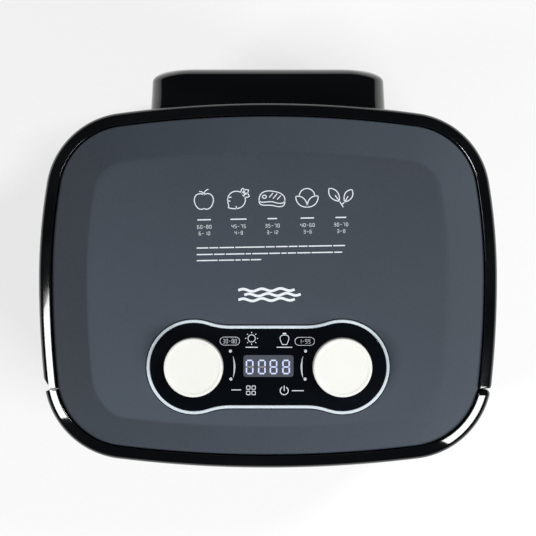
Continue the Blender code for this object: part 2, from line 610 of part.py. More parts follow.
# --- Door -----------------------------------------------------------------------------------
def door():
    """The wrap-round door: gloss frame, smoked window, gasket, catch plate, hinge lugs and pins."""
    frame = round_top(band("door_frame", 0.0, RIM_WIDTH, SHELL_BOTTOM, RIM_TOP, BLACK_GLOSS), RIM_ROUND, 3)
    left = box("door_left_cutter", (-WIDE, SPLIT_Y - 0.0006, -0.1), (0.0, WIDE, WIDE * 2))
    right = box("door_right_cutter", (-0.001, HINGE_Y, -0.1), (WIDE, WIDE, WIDE * 2))
    cut(frame, left, right)
    nose = cylinder("door_nose", (HINGE_X, HINGE_Y, SHELL_BOTTOM), (HINGE_X, HINGE_Y, RIM_TOP - 0.0002),
                    RIM_WIDTH / 2 - 0.0001)
    join(frame, round_top(nose, 0.0040, 3))
    opening, corner, rebate_width = WINDOW, WINDOW_CORNER, WINDOW_REBATE
    through = plate("window_cutter", [rounded_rectangle(*opening, [corner] * 4)], -0.18, -0.10, facing="Y")
    grown = [opening[0] - rebate_width, opening[1] + rebate_width,
             opening[2] - rebate_width, opening[3] + rebate_width]
    grown_loop = rounded_rectangle(*grown, [corner + rebate_width] * 4)
    rebate = band("window_rebate_cutter", 0.0030, 0.020, 0.0, 0.28)
    keep(rebate, plate("window_rebate_box", [grown_loop], -0.18, -0.10, facing="Y"))
    cut(frame, through, rebate)
    seat = [grown[0] + GAP, grown[1] - GAP, grown[2] + GAP, grown[3] - GAP]
    seat_loop = rounded_rectangle(*seat, [corner + rebate_width - GAP] * 4)
    pane = band("door_window", 0.0033, 0.0056, 0.0, 0.28, SMOKE)
    keep(pane, plate("window_seat_box", [seat_loop], -0.18, -0.10, facing="Y"))
    ring = band("window_gasket", 0.0059, 0.0085, 0.0, 0.28, RUBBER)
    lip = 0.001
    inner = rounded_rectangle(opening[0] - lip, opening[1] + lip, opening[2] - lip, opening[3] + lip,
                              [corner] * 4)
    keep(ring, plate("gasket_box", [seat_loop, inner], -0.18, -0.10, facing="Y"))
    plate_x = -plan_x(SPLIT_Y, RIM_WIDTH / 2 + 0.0008)
    end_y = SPLIT_Y - 0.0006
    cut(frame, box("catch_recess_cutter", (plate_x - 0.0018, end_y - 0.0021, CATCH_LEVELS[0] - GAP),
                   (plate_x + 0.0032, end_y + 0.001, CATCH_LEVELS[1] + GAP)))
    catch = box("catch_plate", (plate_x - 0.0015, end_y - 0.0018, CATCH_LEVELS[0]),
                (plate_x + 0.0029, end_y - 0.0002, CATCH_LEVELS[1]), STEEL)
    for number, (word, level) in enumerate(zip(("lower", "upper"), HINGE_LEVELS), 1):
        high = level + HINGE_NOTCH
        cut(frame, box(f"hinge_notch_cutter_{number}", (HINGE_X - 0.008, HINGE_Y - 0.006, level),
                       (HINGE_X + 0.008, HINGE_Y + 0.006, high)))
        cut(frame, cylinder(f"pin_bore_cutter_{number}", (HINGE_X, HINGE_Y, level - PIN_REACH - GAP),
                            (HINGE_X, HINGE_Y, high + PIN_REACH + GAP), PIN_BORE_RADIUS, sides=16))
        lug = cylinder(f"hinge_lug_{word}", (HINGE_X, HINGE_Y, level + GAP), (HINGE_X, HINGE_Y, high - GAP),
                       LUG_RADIUS, STEEL)
        join(lug, box(f"lug_arm_{number}", (HINGE_X - 0.0025, HINGE_Y, level + GAP),
                      (HINGE_X + 0.0025, SPLIT_Y + 0.0052, high - GAP)))
        cut(lug, cylinder(f"lug_bore_cutter_{number}", (HINGE_X, HINGE_Y, level - 0.01),
                          (HINGE_X, HINGE_Y, high + 0.01), PIN_BORE_RADIUS, sides=16))
        cylinder(f"hinge_pin_{word}", (HINGE_X, HINGE_Y, level - PIN_REACH),
                 (HINGE_X, HINGE_Y, high + PIN_REACH), PIN_RADIUS, STEEL, sides=16)
    parent_to(axis_empty("door_axis", (HINGE_X, HINGE_Y, 0.0)), frame, pane, ring, catch)


# --- Controls -------------------------------------------------------------------------------
def panel():
    """Silver bezel, gloss lens, display, board, encoders, touch springs, sounder and power board."""
    floor = POCKET_FLOOR + GAP
    plate("control_bezel", [panel_outline(0.0), panel_outline(-BEZEL_WIDTH)], floor, BEZEL_TOP, SILVER)
    shaft_holes = [circle(side * KNOB_X, KNOB_Y, SHAFT_HOLE_RADIUS) for side in (-1, 1)]
    plate("control_lens", [panel_outline(-BEZEL_WIDTH - GAP)] + shaft_holes, floor, LENS_TOP, BLACK_GLOSS)
    box("display_module", (-0.0200, KNOB_Y - 0.0120, 0.2600), (0.0200, KNOB_Y + 0.0120, 0.2694), WHITE)
    board = rectangle(-0.085, 0.085, KNOB_Y - 0.032, KNOB_Y + 0.032)
    plate("control_board", [board], BOARD_Z, BOARD_Z + BOARD_THICKNESS, CIRCUIT)
    turned("sounder", [(0.0, 0.007), (0.006, 0.007), (0.006, 0.0), (0.0, 0.0)], DARK_PLASTIC,
           (0.0, KNOB_Y + 0.024, BOARD_Z + BOARD_THICKNESS + GAP), steps=20)
    for key, (x, y) in TOUCH_KEYS.items():
        foot, top, turns, steps = BOARD_Z + 0.0026, 0.2662, 3, 9
        spiral = [(x + 0.003 * math.cos(math.tau * i / steps), y + 0.003 * math.sin(math.tau * i / steps),
                   foot + (top - foot) * i / (turns * steps)) for i in range(turns * steps + 1)]
        wire(f"{key}_touch_spring", spiral, 0.0005, STEEL)
    for name, side in (("temperature", -1), ("timer", 1)):
        x = side * KNOB_X
        half = 0.0065
        body = box(f"{name}_encoder", (x - half, KNOB_Y - half, BOARD_Z + BOARD_THICKNESS + GAP),
                   (x + half, KNOB_Y + half, 0.2620), STEEL)
        cut(body, cylinder(f"{name}_encoder_cutter", (x, KNOB_Y, 0.2570), (x, KNOB_Y, 0.27),
                           SHAFT_RADIUS + 0.0004))
        shaft = cylinder(f"{name}_shaft", (x, KNOB_Y, 0.2573), (x, KNOB_Y, 0.2842), SHAFT_RADIUS, STEEL)
        outer = KNOB_RADIUS
        profile = [(0.0, KNOB_TOP - 0.0010), (0.0120, KNOB_TOP - 0.0008),
                   (0.0185, KNOB_TOP), (0.0202, KNOB_TOP - 0.0003),
                   (outer - 0.0006, KNOB_TOP - 0.0018), (outer, KNOB_TOP - 0.0042), (outer, 0.2760),
                   (outer - 0.0006, 0.2750), (0.0198, 0.2750), (0.0198, 0.2838), (0.0060, 0.2838),
                   (0.0060, 0.2765), (0.0033, 0.2765), (0.0033, 0.2846), (0.0, 0.2846)]
        knob = turned(f"{name}_knob", profile, WHITE, (x, KNOB_Y, 0), steps=32)
        parent_to(axis_empty(f"{name}_axis", (x, KNOB_Y, 0.27)), shaft, knob)
    supply = box("power_board", (-0.055, 0.010, 0.2380), (0.055, 0.075, 0.2396), CIRCUIT)
    for number, (low, high) in enumerate([((-0.048, 0.018, 0.239), (-0.018, 0.046, 0.260)),
                                          ((-0.006, 0.020, 0.239), (0.012, 0.036, 0.254)),
                                          ((0.022, 0.018, 0.239), (0.048, 0.040, 0.257)),
                                          ((-0.040, 0.056, 0.239), (0.040, 0.066, 0.249))], 1):
        join(supply, box(f"supply_part_{number}", low, high))


outer_shell()
base()
cover()
rear_housing()
fan()
heater()
chamber()
trays()
door()
panel()
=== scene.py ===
"""Looks of a cabinet food dehydrator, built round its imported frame.

Skins, print, wires and finishes are worked out here in metres, in the frame's own axes: +X is the
user's right, +Y the rear and +Z up. Every surface is a grid of points computed with numpy.
"""
from __future__ import annotations

import logging
import math
from dataclasses import dataclass, field
from enum import Enum
from typing import Iterable, Sequence

import bpy
import numpy as np
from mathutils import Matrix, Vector

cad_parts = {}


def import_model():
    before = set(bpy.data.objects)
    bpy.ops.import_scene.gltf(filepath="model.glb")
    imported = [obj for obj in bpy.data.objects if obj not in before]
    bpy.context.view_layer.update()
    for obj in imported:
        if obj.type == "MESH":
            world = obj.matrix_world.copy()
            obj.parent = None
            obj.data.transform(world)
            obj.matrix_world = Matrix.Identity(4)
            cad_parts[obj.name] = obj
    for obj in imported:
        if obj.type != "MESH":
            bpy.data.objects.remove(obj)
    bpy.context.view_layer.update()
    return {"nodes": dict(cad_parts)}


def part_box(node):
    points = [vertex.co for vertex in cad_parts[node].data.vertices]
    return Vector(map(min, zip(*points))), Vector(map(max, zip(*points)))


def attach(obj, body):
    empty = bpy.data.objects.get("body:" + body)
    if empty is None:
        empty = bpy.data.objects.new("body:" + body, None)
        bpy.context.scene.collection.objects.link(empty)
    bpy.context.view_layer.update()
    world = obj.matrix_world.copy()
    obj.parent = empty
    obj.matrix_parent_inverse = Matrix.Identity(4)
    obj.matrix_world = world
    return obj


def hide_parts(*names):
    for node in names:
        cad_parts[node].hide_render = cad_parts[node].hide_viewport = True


LOG = logging.getLogger("dehydrator")
Array = np.ndarray
Colour = tuple[float, float, float]
Socket = bpy.types.NodeSocket


class Body(Enum):
    """The frame's moving bodies."""

    CABINET = "cabinet"
    DOOR = "door"
    TEMPERATURE = "temperature_control"
    TIMER = "timer_control"
    DRIP_TRAY = "drip_tray_body"


# --------------------------------------------------------------------------- shader building
class Value:
    """A number that varies over a surface: a socket that understands arithmetic."""

    def __init__(self, shader: "Shader", socket: Socket) -> None:
        """Wrap a socket of a shader's node tree."""
        self.shader = shader
        self.socket = socket

    def _math(self, operation: str, first: "Value | float", second: "Value | float") -> "Value":
        """Add one Math node.

        Args:
            operation: The Math node's operation.
            first: Left operand.
            second: Right operand.

        Returns:
            The node's result.
        """
        node = self.shader.node("ShaderNodeMath", {"operation": operation}, {0: first, 1: second})
        return Value(self.shader, node.outputs[0])

    def __add__(self, other: "Value | float") -> "Value":
        """Sum."""
        return self._math("ADD", self, other)

    def __sub__(self, other: "Value | float") -> "Value":
        """Difference."""
        return self._math("SUBTRACT", self, other)

    def __rsub__(self, other: float) -> "Value":
        """Difference, number first."""
        return self._math("SUBTRACT", other, self)

    def __mul__(self, other: "Value | float") -> "Value":
        """Product."""
        return self._math("MULTIPLY", self, other)

    def __radd__(self, other: float) -> "Value":
        """Sum, number first."""
        return self._math("ADD", other, self)

    def __rmul__(self, other: float) -> "Value":
        """Product, number first."""
        return self._math("MULTIPLY", other, self)

    def ramp(self, low: float, high: float) -> "Value":
        """A smooth step from 0 at low to 1 at high."""
        node = self.shader.node("ShaderNodeMapRange", {"interpolation_type": "SMOOTHSTEP"},
                                {"Value": self, "From Min": low, "From Max": high})
        return Value(self.shader, node.outputs[0])


class Shader:
    """A material under construction, with its Principled node."""

    def __init__(self, name: str) -> None:
        """Start a material.

        Args:
            name: The material's name.
        """
        self.material = bpy.data.materials.new(name)
        self.material.use_nodes = True
        self.tree = self.material.node_tree
        self.surface = self.tree.nodes["Principled BSDF"]

    def feed(self, socket: Socket, value: object) -> None:
        """Give a socket its value.

        Args:
            socket: The socket.
            value: A Value or a socket to link, or a constant; a colour of three numbers is opaque.
        """
        source = value.socket if isinstance(value, Value) else value
        if isinstance(source, Socket):
            self.tree.links.new(source, socket)
        elif socket.type == "RGBA" and len(source) == 3:
            socket.default_value = (*source, 1.0)
        else:
            socket.default_value = source

    def node(self, kind: str, settings: dict | None = None, inputs: dict | None = None) -> bpy.types.Node:
        """Add a node.

        Args:
            kind: The node's type.
            settings: Properties, set first.
            inputs: Values, links or Values for its sockets, by name or number.

        Returns:
            The new node.
        """
        made = self.tree.nodes.new(kind)
        for key, value in (settings or {}).items():
            setattr(made, key, value)
        for key, value in (inputs or {}).items():
            self.feed(made.inputs[key], value)
        return made

    def set(self, **inputs: object) -> None:
        """Set or link the Principled node's sockets, underscores standing for spaces."""
        for key, value in inputs.items():
            self.feed(self.surface.inputs[key.replace("_", " ")], value)

    def coordinates(self, stretch: tuple[float, float, float] = (1.0, 1.0, 1.0)) -> Socket:
        """Object coordinates, scaled along each axis by stretch."""
        source = self.node("ShaderNodeTexCoord").outputs["Object"]
        return self.node("ShaderNodeMapping", None, {"Vector": source, "Scale": stretch}).outputs[0]

    def along(self, axis: int) -> Value:
        """One of the object coordinates, in metres: 0 for x, 1 for y and 2 for z."""
        parts = self.node("ShaderNodeSeparateXYZ", None, {0: self.coordinates()})
        return Value(self, parts.outputs[axis])

    def noise(self, scale: float, detail: float = 3.0, stretch: tuple[float, float, float] = (1.0, 1.0, 1.0),
              roughness: float = 0.55) -> Value:
        """Fractal noise.

        Args:
            scale: Features per metre.
            detail: Octaves.
            stretch: Scale of each axis, to draw the noise out into streaks.
            roughness: Strength of each octave against the one before.

        Returns:
            The noise, from 0 to 1.
        """
        made = self.node("ShaderNodeTexNoise", None, {"Vector": self.coordinates(stretch), "Scale": scale,
                                                      "Detail": detail, "Roughness": roughness})
        return Value(self, made.outputs["Fac"])

    def cells(self, scale: float, stretch: tuple[float, float, float] = (1.0, 1.0, 1.0)) -> Value:
        """Distance to the nearest of a field of random points, scale of them per metre."""
        made = self.node("ShaderNodeTexVoronoi", None, {"Vector": self.coordinates(stretch), "Scale": scale})
        return Value(self, made.outputs["Distance"])

    def blend(self, share: Value, first: Colour | Socket, second: Colour) -> Socket:
        """A colour between two, by share."""
        return self.node("ShaderNodeMix", {"data_type": "RGBA"}, {0: share, 6: first, 7: second}).outputs[2]

    def bump(self, height: Value, distance: float, strength: float = 1.0) -> Socket:
        """A normal roughened by height, in units of distance metres."""
        inputs = {"Height": height, "Distance": distance, "Strength": strength}
        return self.node("ShaderNodeBump", None, inputs).outputs[0]


def shade(colour: Colour, factor: float, lift: float = 0.0) -> Colour:
    """A colour made darker or lighter by a factor, and lifted by a constant."""
    return tuple(min(1.0, part * factor + lift) for part in colour)


@dataclass(frozen=True)
class Finish:
    """A finish: how one kind of surface is coloured and textured."""

    name: str

    def paint(self, shader: Shader) -> None:
        """Set the shader's sockets; each kind of finish does this its own way."""
        raise NotImplementedError

    def material(self) -> bpy.types.Material:
        """The finish's material, made the first time it is asked for."""
        found = bpy.data.materials.get(self.name)
        if found is None:
            shader = Shader(self.name)
            self.paint(shader)
            found = shader.material
        return found


@dataclass(frozen=True)
class GlossPlastic(Finish):
    """Polished moulding: faint flow in the surface, and a film of dust and wipe marks in its gloss."""

    colour: Colour
    roughness: float = 0.06
    coat: float = 0.45

    def paint(self, shader: Shader) -> None:
        """Colour drifts a little; roughness rises where the polish is wiped."""
        wipe = shader.noise(9.0, 2.0, (1.0, 3.0, 1.0))
        dust = shader.noise(900.0, 1.0).ramp(0.72, 0.80)
        lifted = shade(self.colour, 1.35, 0.0015)
        shader.set(Base_Color=shader.blend(wipe.ramp(0.35, 0.7), self.colour, lifted),
                   Roughness=self.roughness + 0.05 * wipe.ramp(0.4, 0.75) + 0.10 * dust,
                   Coat_Weight=self.coat, Coat_Roughness=0.03, IOR=1.49,
                   Normal=shader.bump(shader.noise(55.0, 1.0), 0.00004, 0.5))


@dataclass(frozen=True)
class SparkedPlastic(Finish):
    """Moulding with a spark-eroded texture: fine pits, mottled tone, no gloss."""

    dark: Colour
    light: Colour
    grain: float = 1500.0
    depth: float = 0.00012
    roughness: float = 0.50

    def paint(self, shader: Shader) -> None:
        """Two sizes of grain make the pits; broad mottling and the grain's tops vary the tone."""
        fine = shader.noise(self.grain, 2.0)
        coarse = shader.noise(self.grain * 0.38, 2.0)
        grain = 0.6 * fine + 0.4 * coarse
        mottle = shader.noise(26.0, 4.0)
        tone = 0.72 * grain.ramp(0.30, 0.70) + 0.28 * mottle.ramp(0.3, 0.7)
        shader.set(Base_Color=shader.blend(tone, self.dark, self.light),
                   Roughness=self.roughness + 0.16 * fine, IOR=1.40,
                   Normal=shader.bump(grain, self.depth, 0.8))


@dataclass(frozen=True)
class CoverPlastic(Finish):
    """The cover's spark-eroded moulding, whose tone carries painted light and shade over its field and its
    border.

    Attributes:
        colour: Middle of the tone.
        crease: Heights between which the border gives way to the raised field.
    """

    colour: Colour
    crease: tuple[float, float]

    def paint(self, shader: Shader) -> None:
        """Tone = 1/2 + painted light and shade + grain, as the share between half the colour and one and a
        half times it.

        Painted light and shade: the field lightens to the left and the front; the border lightens to the
        right, and to both the front and the rear by the square of y, as if lamps lit its slopes.
        """
        fine, coarse = shader.noise(1500.0, 2.0), shader.noise(560.0, 2.0)
        grain = 0.6 * fine + 0.4 * coarse
        mottle = shader.noise(26.0, 4.0)
        x, y = shader.along(0), shader.along(1)
        raised = shader.along(2).ramp(*self.crease)
        # Painted light and shade: tone set by position and by border or field, standing in for the lamps; the
        # grain and mottle below are the moulding's own.
        painted_field_light = -0.80 * x - 2.20 * y
        painted_border_light = 1.40 * x + 12.0 * y * y - 0.18
        painted_light_and_shade = painted_border_light + raised * (painted_field_light - painted_border_light)
        tone = painted_light_and_shade + 0.5 + 0.55 * (grain - 0.5) + 0.12 * (mottle - 0.5)
        colour = shader.blend(tone, shade(self.colour, 0.5), shade(self.colour, 1.5))
        shader.set(Base_Color=colour, Roughness=0.56 + 0.16 * fine, IOR=1.40,
                   Normal=shader.bump(grain, 0.00012, 0.8))


@dataclass(frozen=True)
class SatinMetal(Finish):
    """Plated or rolled metal with fine brushing along one axis and small handling marks."""

    colour: Colour
    roughness: float = 0.25
    brushing: tuple[float, float, float] = (1.0, 40.0, 40.0)
    depth: float = 0.00002

    def paint(self, shader: Shader) -> None:
        """Brush lines vary roughness and height; a slow cloud varies the tone."""
        lines = shader.noise(45.0, 4.0, self.brushing, 0.7)
        cloud = shader.noise(14.0, 3.0)
        dull = shade(self.colour, 0.80)
        shader.set(Base_Color=shader.blend(0.5 * lines + 0.5 * cloud, dull, self.colour), Metallic=1.0,
                   Roughness=self.roughness + 0.18 * lines.ramp(0.3, 0.8) + 0.06 * cloud,
                   Normal=shader.bump(lines, self.depth, 0.5))


@dataclass(frozen=True)
class SoftWhite(Finish):
    """White knob plastic: a very fine satin texture over a warm white."""

    colour: Colour = (0.78, 0.785, 0.755)

    def paint(self, shader: Shader) -> None:
        """A trace of tone and a fine satin bump."""
        cloud = shader.noise(60.0, 3.0)
        satin = shader.noise(2600.0, 1.0)
        warm = (self.colour[0] * 0.97, self.colour[1] * 0.965, self.colour[2] * 0.94)
        shader.set(Base_Color=shader.blend(cloud, warm, self.colour), Roughness=0.34 + 0.08 * satin,
                   Subsurface_Weight=0.08, Subsurface_Radius=(0.002, 0.002, 0.0016), Subsurface_Scale=0.4,
                   Coat_Weight=0.12, Coat_Roughness=0.2, Normal=shader.bump(satin, 0.00002, 0.5))


@dataclass(frozen=True)
class SmokedClear(Finish):
    """Tinted clear plastic with faint swirl marks."""

    tint: Colour = (0.10, 0.10, 0.115)

    def paint(self, shader: Shader) -> None:
        """Mostly seen through; swirls lift its roughness."""
        swirl = shader.noise(18.0, 4.0, (1.0, 1.0, 2.5))
        haze = shade(self.tint, 1.5)
        shader.set(Base_Color=shader.blend(swirl.ramp(0.4, 0.8), self.tint, haze), IOR=1.49,
                   Roughness=0.03 + 0.05 * swirl.ramp(0.45, 0.8), Alpha=0.34 + 0.05 * swirl.ramp(0.5, 0.8),
                   Coat_Weight=0.5, Coat_Roughness=0.02,
                   Normal=shader.bump(shader.noise(22.0, 1.0), 0.00001, 0.15))


@dataclass(frozen=True)
class SoftRubber(Finish):
    """Matt black rubber with a powdery bloom."""

    colour: Colour = (0.016, 0.016, 0.017)

    def paint(self, shader: Shader) -> None:
        """Bloom lightens the tops of a fine grain."""
        grain = shader.noise(800.0, 3.0)
        bloom = shader.noise(70.0, 3.0).ramp(0.4, 0.75)
        shader.set(Base_Color=shader.blend(0.5 * bloom + 0.3 * grain, self.colour, (0.045, 0.045, 0.046)),
                   Roughness=0.72 + 0.2 * grain, Normal=shader.bump(grain, 0.00006, 0.7))


@dataclass(frozen=True)
class CircuitBoard(Finish):
    """Green solder mask over copper runs, with tinned pads."""

    mask: Colour = (0.008, 0.085, 0.035)

    def paint(self, shader: Shader) -> None:
        """Long runs in both directions lie under the mask; small round pads show metal."""
        runs = shader.cells(150.0, (1.0, 6.0, 1.0)).ramp(0.30, 0.42)
        cross = shader.cells(150.0, (6.0, 1.0, 1.0)).ramp(0.30, 0.42)
        pads = 1.0 - shader.cells(210.0).ramp(0.12, 0.20)
        green = shader.blend(0.5 * runs + 0.5 * cross, (0.020, 0.150, 0.060), self.mask)
        shader.set(Base_Color=shader.blend(pads, green, (0.62, 0.63, 0.60)), Metallic=pads,
                   Roughness=0.45 - 0.15 * pads,
                   Normal=shader.bump(runs + cross + pads, 0.00005, 0.6))


@dataclass(frozen=True)
class Glow(Finish):
    """A lit surface: light that varies a little from place to place."""

    colour: Colour
    strength: float

    def paint(self, shader: Shader) -> None:
        """Emission between four fifths and all of the colour."""
        cloud = shader.noise(140.0, 2.0)
        dim = shade(self.colour, 0.8)
        shader.set(Base_Color=(0.02, 0.02, 0.025), Roughness=0.3, Emission_Strength=self.strength,
                   Emission_Color=shader.blend(cloud, dim, self.colour),
                   Normal=shader.bump(cloud, 0.00001, 0.3))


@dataclass(frozen=True)
class PrintInk(Finish):
    """Pad-printed ink with a slightly uneven edge of cover."""

    colour: Colour

    def paint(self, shader: Shader) -> None:
        """The ink thins here and there."""
        cover = shader.noise(1200.0, 2.0)
        thin = shade(self.colour, 0.80)
        shader.set(Base_Color=shader.blend(cover.ramp(0.25, 0.6), thin, self.colour),
                   Roughness=0.42 + 0.1 * cover, Normal=shader.bump(cover, 0.00002, 0.5))


@dataclass(frozen=True)
class StudioPaper(Finish):
    """White paper lit a little from below."""

    glow: float = 0.62

    def paint(self, shader: Shader) -> None:
        """A soft fibre texture and an even glow."""
        fibre = shader.noise(240.0, 3.0)
        shader.set(Base_Color=shader.blend(fibre, (0.34, 0.34, 0.34), (0.38, 0.38, 0.38)),
                   Roughness=0.7 + 0.2 * fibre, Emission_Color=(1.0, 1.0, 1.0), Emission_Strength=self.glow,
                   Normal=shader.bump(fibre, 0.00005, 0.5))


GLOSS_BLACK = GlossPlastic("gloss_black_plastic", (0.0012, 0.0015, 0.0021))
PANEL_BLACK = GlossPlastic("control_panel_black", (0.0009, 0.0017, 0.0032), 0.05, 0.4)
# The cover's finish paints light and shade into its tone, on top of its grain and mottle.
COVER_GREY = CoverPlastic("anthracite_cover", (0.0345, 0.0447, 0.0600), (0.27305, 0.27340))
BLACK_MATT = SparkedPlastic("matt_black_plastic", (0.012, 0.012, 0.013), (0.030, 0.031, 0.033),
                            1100.0, 0.00010, 0.55)
INNER_GREY = SparkedPlastic("chamber_plastic", (0.060, 0.062, 0.066), (0.105, 0.108, 0.112),
                            900.0, 0.00008, 0.48)
SILVER_RING = SparkedPlastic("silver_ring", (0.50, 0.57, 0.62), (0.62, 0.69, 0.75), 3000.0, 0.00001, 0.26)
TRAY_WIRE = SatinMetal("polished_wire", (0.78, 0.79, 0.80), 0.10, (1.0, 1.0, 1.0), 0.000006)
SHEET_STEEL = SatinMetal("rolled_sheet_steel", (0.56, 0.57, 0.58), 0.28, (1.0, 30.0, 30.0))
HEATER_STEEL = SatinMetal("heat_tinted_steel", (0.42, 0.36, 0.30), 0.34, (6.0, 6.0, 6.0))
TURNED_BRASS = SatinMetal("turned_brass", (0.72, 0.53, 0.26), 0.26, (30.0, 1.0, 30.0))
FAN_SHEET = SatinMetal("pressed_aluminium", (0.74, 0.75, 0.77), 0.24, (20.0, 1.0, 20.0))
PLATED_MAGNET = SatinMetal("plated_magnet", (0.52, 0.52, 0.54), 0.20, (4.0, 4.0, 1.0))
KNOB_WHITE = SoftWhite("knob_white")
SMOKED = SmokedClear("smoked_window")
RUBBER = SoftRubber("black_rubber")
BOARD = CircuitBoard("circuit_board")
COVER_PRINT = PrintInk("cover_print_white", (0.74, 0.78, 0.82))
PANEL_PRINT = PrintInk("panel_print_silver", (0.66, 0.71, 0.77))
DISPLAY_BACK = Glow("display_backlight", (0.058, 0.067, 0.086), 1.0)
DISPLAY_LIT = Glow("display_segments", (0.62, 0.70, 1.0), 1.25)
DISPLAY_DIM = Glow("display_segments_dim", (0.40, 0.38, 0.34), 0.8)

MM = 0.001
POCKET_GAP = 0.0003      # clearance round a piece that sits in a pocket
DOOR_GAP = 0.0006        # the door's free end stands this far off the shell
OVERSHOOT = 0.01         # how far an upright cutter reaches past the body
RIM_WIDTH = 0.0095
WIDEST_Y = -0.00915      # the body is widest a little ahead of its middle
FRONT_RADII = (0.762, 0.925, 0.0637)     # of the plan's side, end and corner arcs
REAR_RADII = (0.439, 0.835, 0.0628)
MOTOR_HOLE = 0.032       # radii of the holes in the shell's back
GLAND_HOLE = 0.0073
TRAY_REAR_CORNER = 0.010
TRAY_FRONT_CORNER = 0.045


# --------------------------------------------------------------------------- surfaces
@dataclass
class Grid:
    """Points on rows and columns that make one skin.

    Attributes:
        points: Array of rows by columns by 3.
        wrap_rows: The last row joins the first.
        wrap_columns: The last column joins the first.
        cap_rows: Close the skin with a face over the first row and one over the last.
    """

    points: Array
    wrap_rows: bool = False
    wrap_columns: bool = True
    cap_rows: bool = False

    def quads(self) -> Array:
        """Corner numbers of every four-sided face, from the rows and columns next to each other."""
        rows, columns = self.points.shape[:2]
        row = np.arange(rows if self.wrap_rows else rows - 1)[:, None]
        column = np.arange(columns if self.wrap_columns else columns - 1)[None, :]
        below, beside = (row + 1) % rows, (column + 1) % columns
        corners = [row * columns + column, row * columns + beside,
                   below * columns + beside, below * columns + column]
        return np.stack([np.broadcast_to(c, (row.size, column.size)).ravel() for c in corners], axis=1)

    def caps(self) -> list[Array]:
        """Corner numbers of the faces that close the ends."""
        if not self.cap_rows:
            return []
        rows, columns = self.points.shape[:2]
        return [np.arange(columns)[::-1], np.arange(columns) + (rows - 1) * columns]

    def volume(self) -> float:
        """Six times the signed volume inside the skin: the sum of its faces' triple products."""
        flat = self.points.reshape(-1, 3)
        total = 0.0
        quads = self.quads()
        for first, second in ((1, 2), (2, 3)):
            a, b, c = flat[quads[:, 0]], flat[quads[:, first]], flat[quads[:, second]]
            total += float(np.einsum("ij,ij->i", a, np.cross(b, c)).sum())
        for cap in self.caps():
            ring = flat[cap]
            total += float(np.einsum("ij,ij->i", np.broadcast_to(ring[0], (len(ring) - 2, 3)),
                                     np.cross(ring[1:-1], ring[2:])).sum())
        return total


class Skin:
    """One visible piece, gathered from grids and made into a mesh object."""

    def __init__(self, name: str, finish: Finish, body: Body | str) -> None:
        """Name a piece, its finish and the body that it rides on."""
        self.name = name
        self.finish = finish
        self.body = body.value if isinstance(body, Body) else body
        self.vertices: list[Array] = []
        self.faces: list[Array] = []
        self.count = 0

    def add(self, grid: Grid) -> "Skin":
        """Add a closed grid, turned so that its faces point out.

        Args:
            grid: The grid to add.

        Returns:
            This piece.
        """
        inward = grid.volume() < 0
        faces = [*grid.quads(), *grid.caps()]
        self.faces += [(face[::-1] if inward else face) + self.count for face in faces]
        self.vertices.append(grid.points.reshape(-1, 3))
        self.count += len(self.vertices[-1])
        return self

    def mesh_object(self) -> bpy.types.Object:
        """Write the gathered faces into a mesh object."""
        mesh = bpy.data.meshes.new(self.name)
        points = np.concatenate(self.vertices).astype(np.float32)
        sizes = np.array([len(face) for face in self.faces], np.int32)
        mesh.vertices.add(len(points))
        mesh.vertices.foreach_set("co", points.ravel())
        mesh.loops.add(int(sizes.sum()))
        mesh.loops.foreach_set("vertex_index", np.concatenate(self.faces).astype(np.int32))
        mesh.polygons.add(len(sizes))
        mesh.polygons.foreach_set("loop_start", np.concatenate(([0], np.cumsum(sizes)[:-1])).astype(np.int32))
        mesh.polygons.foreach_set("loop_total", sizes)
        mesh.update(calc_edges=True)
        mesh.validate()
        made = bpy.data.objects.new(self.name, mesh)
        bpy.context.scene.collection.objects.link(made)
        return made

    def finish_piece(self, slot: str, stands_for: Sequence[str] = (), cutters: Sequence["Skin"] = (),
                     sharp: float = 35.0) -> bpy.types.Object:
        """Make the object, cut it, dress it and put it on its body.

        Args:
            slot: The record's material slot; not used.
            stands_for: Frame nodes that this piece replaces.
            cutters: Closed pieces that are taken away from it.
            sharp: Edges bent by more than this many degrees stay crisp.

        Returns:
            The finished object.
        """
        made = self.mesh_object()
        for cutter in cutters:
            self._cut(made, cutter.mesh_object())
        made.data.materials.clear()
        made.data.materials.append(self.finish.material())
        made.data.polygons.foreach_set("material_index", np.zeros(len(made.data.polygons), np.int32))
        made.data.shade_smooth()
        made.data.set_sharp_from_angle(angle=math.radians(sharp))
        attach(made, self.body)
        if stands_for:
            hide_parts(*stands_for)
        LOG.info("%s: %d faces on %s", self.name, len(made.data.polygons), self.body)
        return made

    @staticmethod
    def _cut(made: bpy.types.Object, cutter: bpy.types.Object) -> None:
        """Take a closed cutter away from an object, for good, and remove the cutter."""
        step = made.modifiers.new("cut", "BOOLEAN")
        step.operation = "DIFFERENCE"
        step.solver = "EXACT"
        step.object = cutter
        bpy.context.view_layer.update()
        result = bpy.data.meshes.new_from_object(made.evaluated_get(bpy.context.evaluated_depsgraph_get()))
        made.modifiers.clear()
        made.data = result
        bpy.data.objects.remove(cutter, do_unlink=True)


def ellipse(centre: Sequence[float], radii: Sequence[float], start: float, end: float, count: int) -> Array:
    """Points on part of an ellipse: centre plus radii times cosine and sine, angles in degrees."""
    angle = np.radians(np.linspace(start, end, count))
    return np.stack([centre[0] + radii[0] * np.cos(angle), centre[1] + radii[1] * np.sin(angle)], axis=1)


def bezier(points: Sequence[Sequence[float]], count: int = 16) -> Array:
    """A cubic curve through its first and last points: the Bernstein sum over four points."""
    t = np.linspace(0.0, 1.0, count)[:, None]
    p0, p1, p2, p3 = (np.asarray(p, float) for p in points)
    return (1 - t) ** 3 * p0 + 3 * (1 - t) ** 2 * t * p1 + 3 * (1 - t) * t ** 2 * p2 + t ** 3 * p3


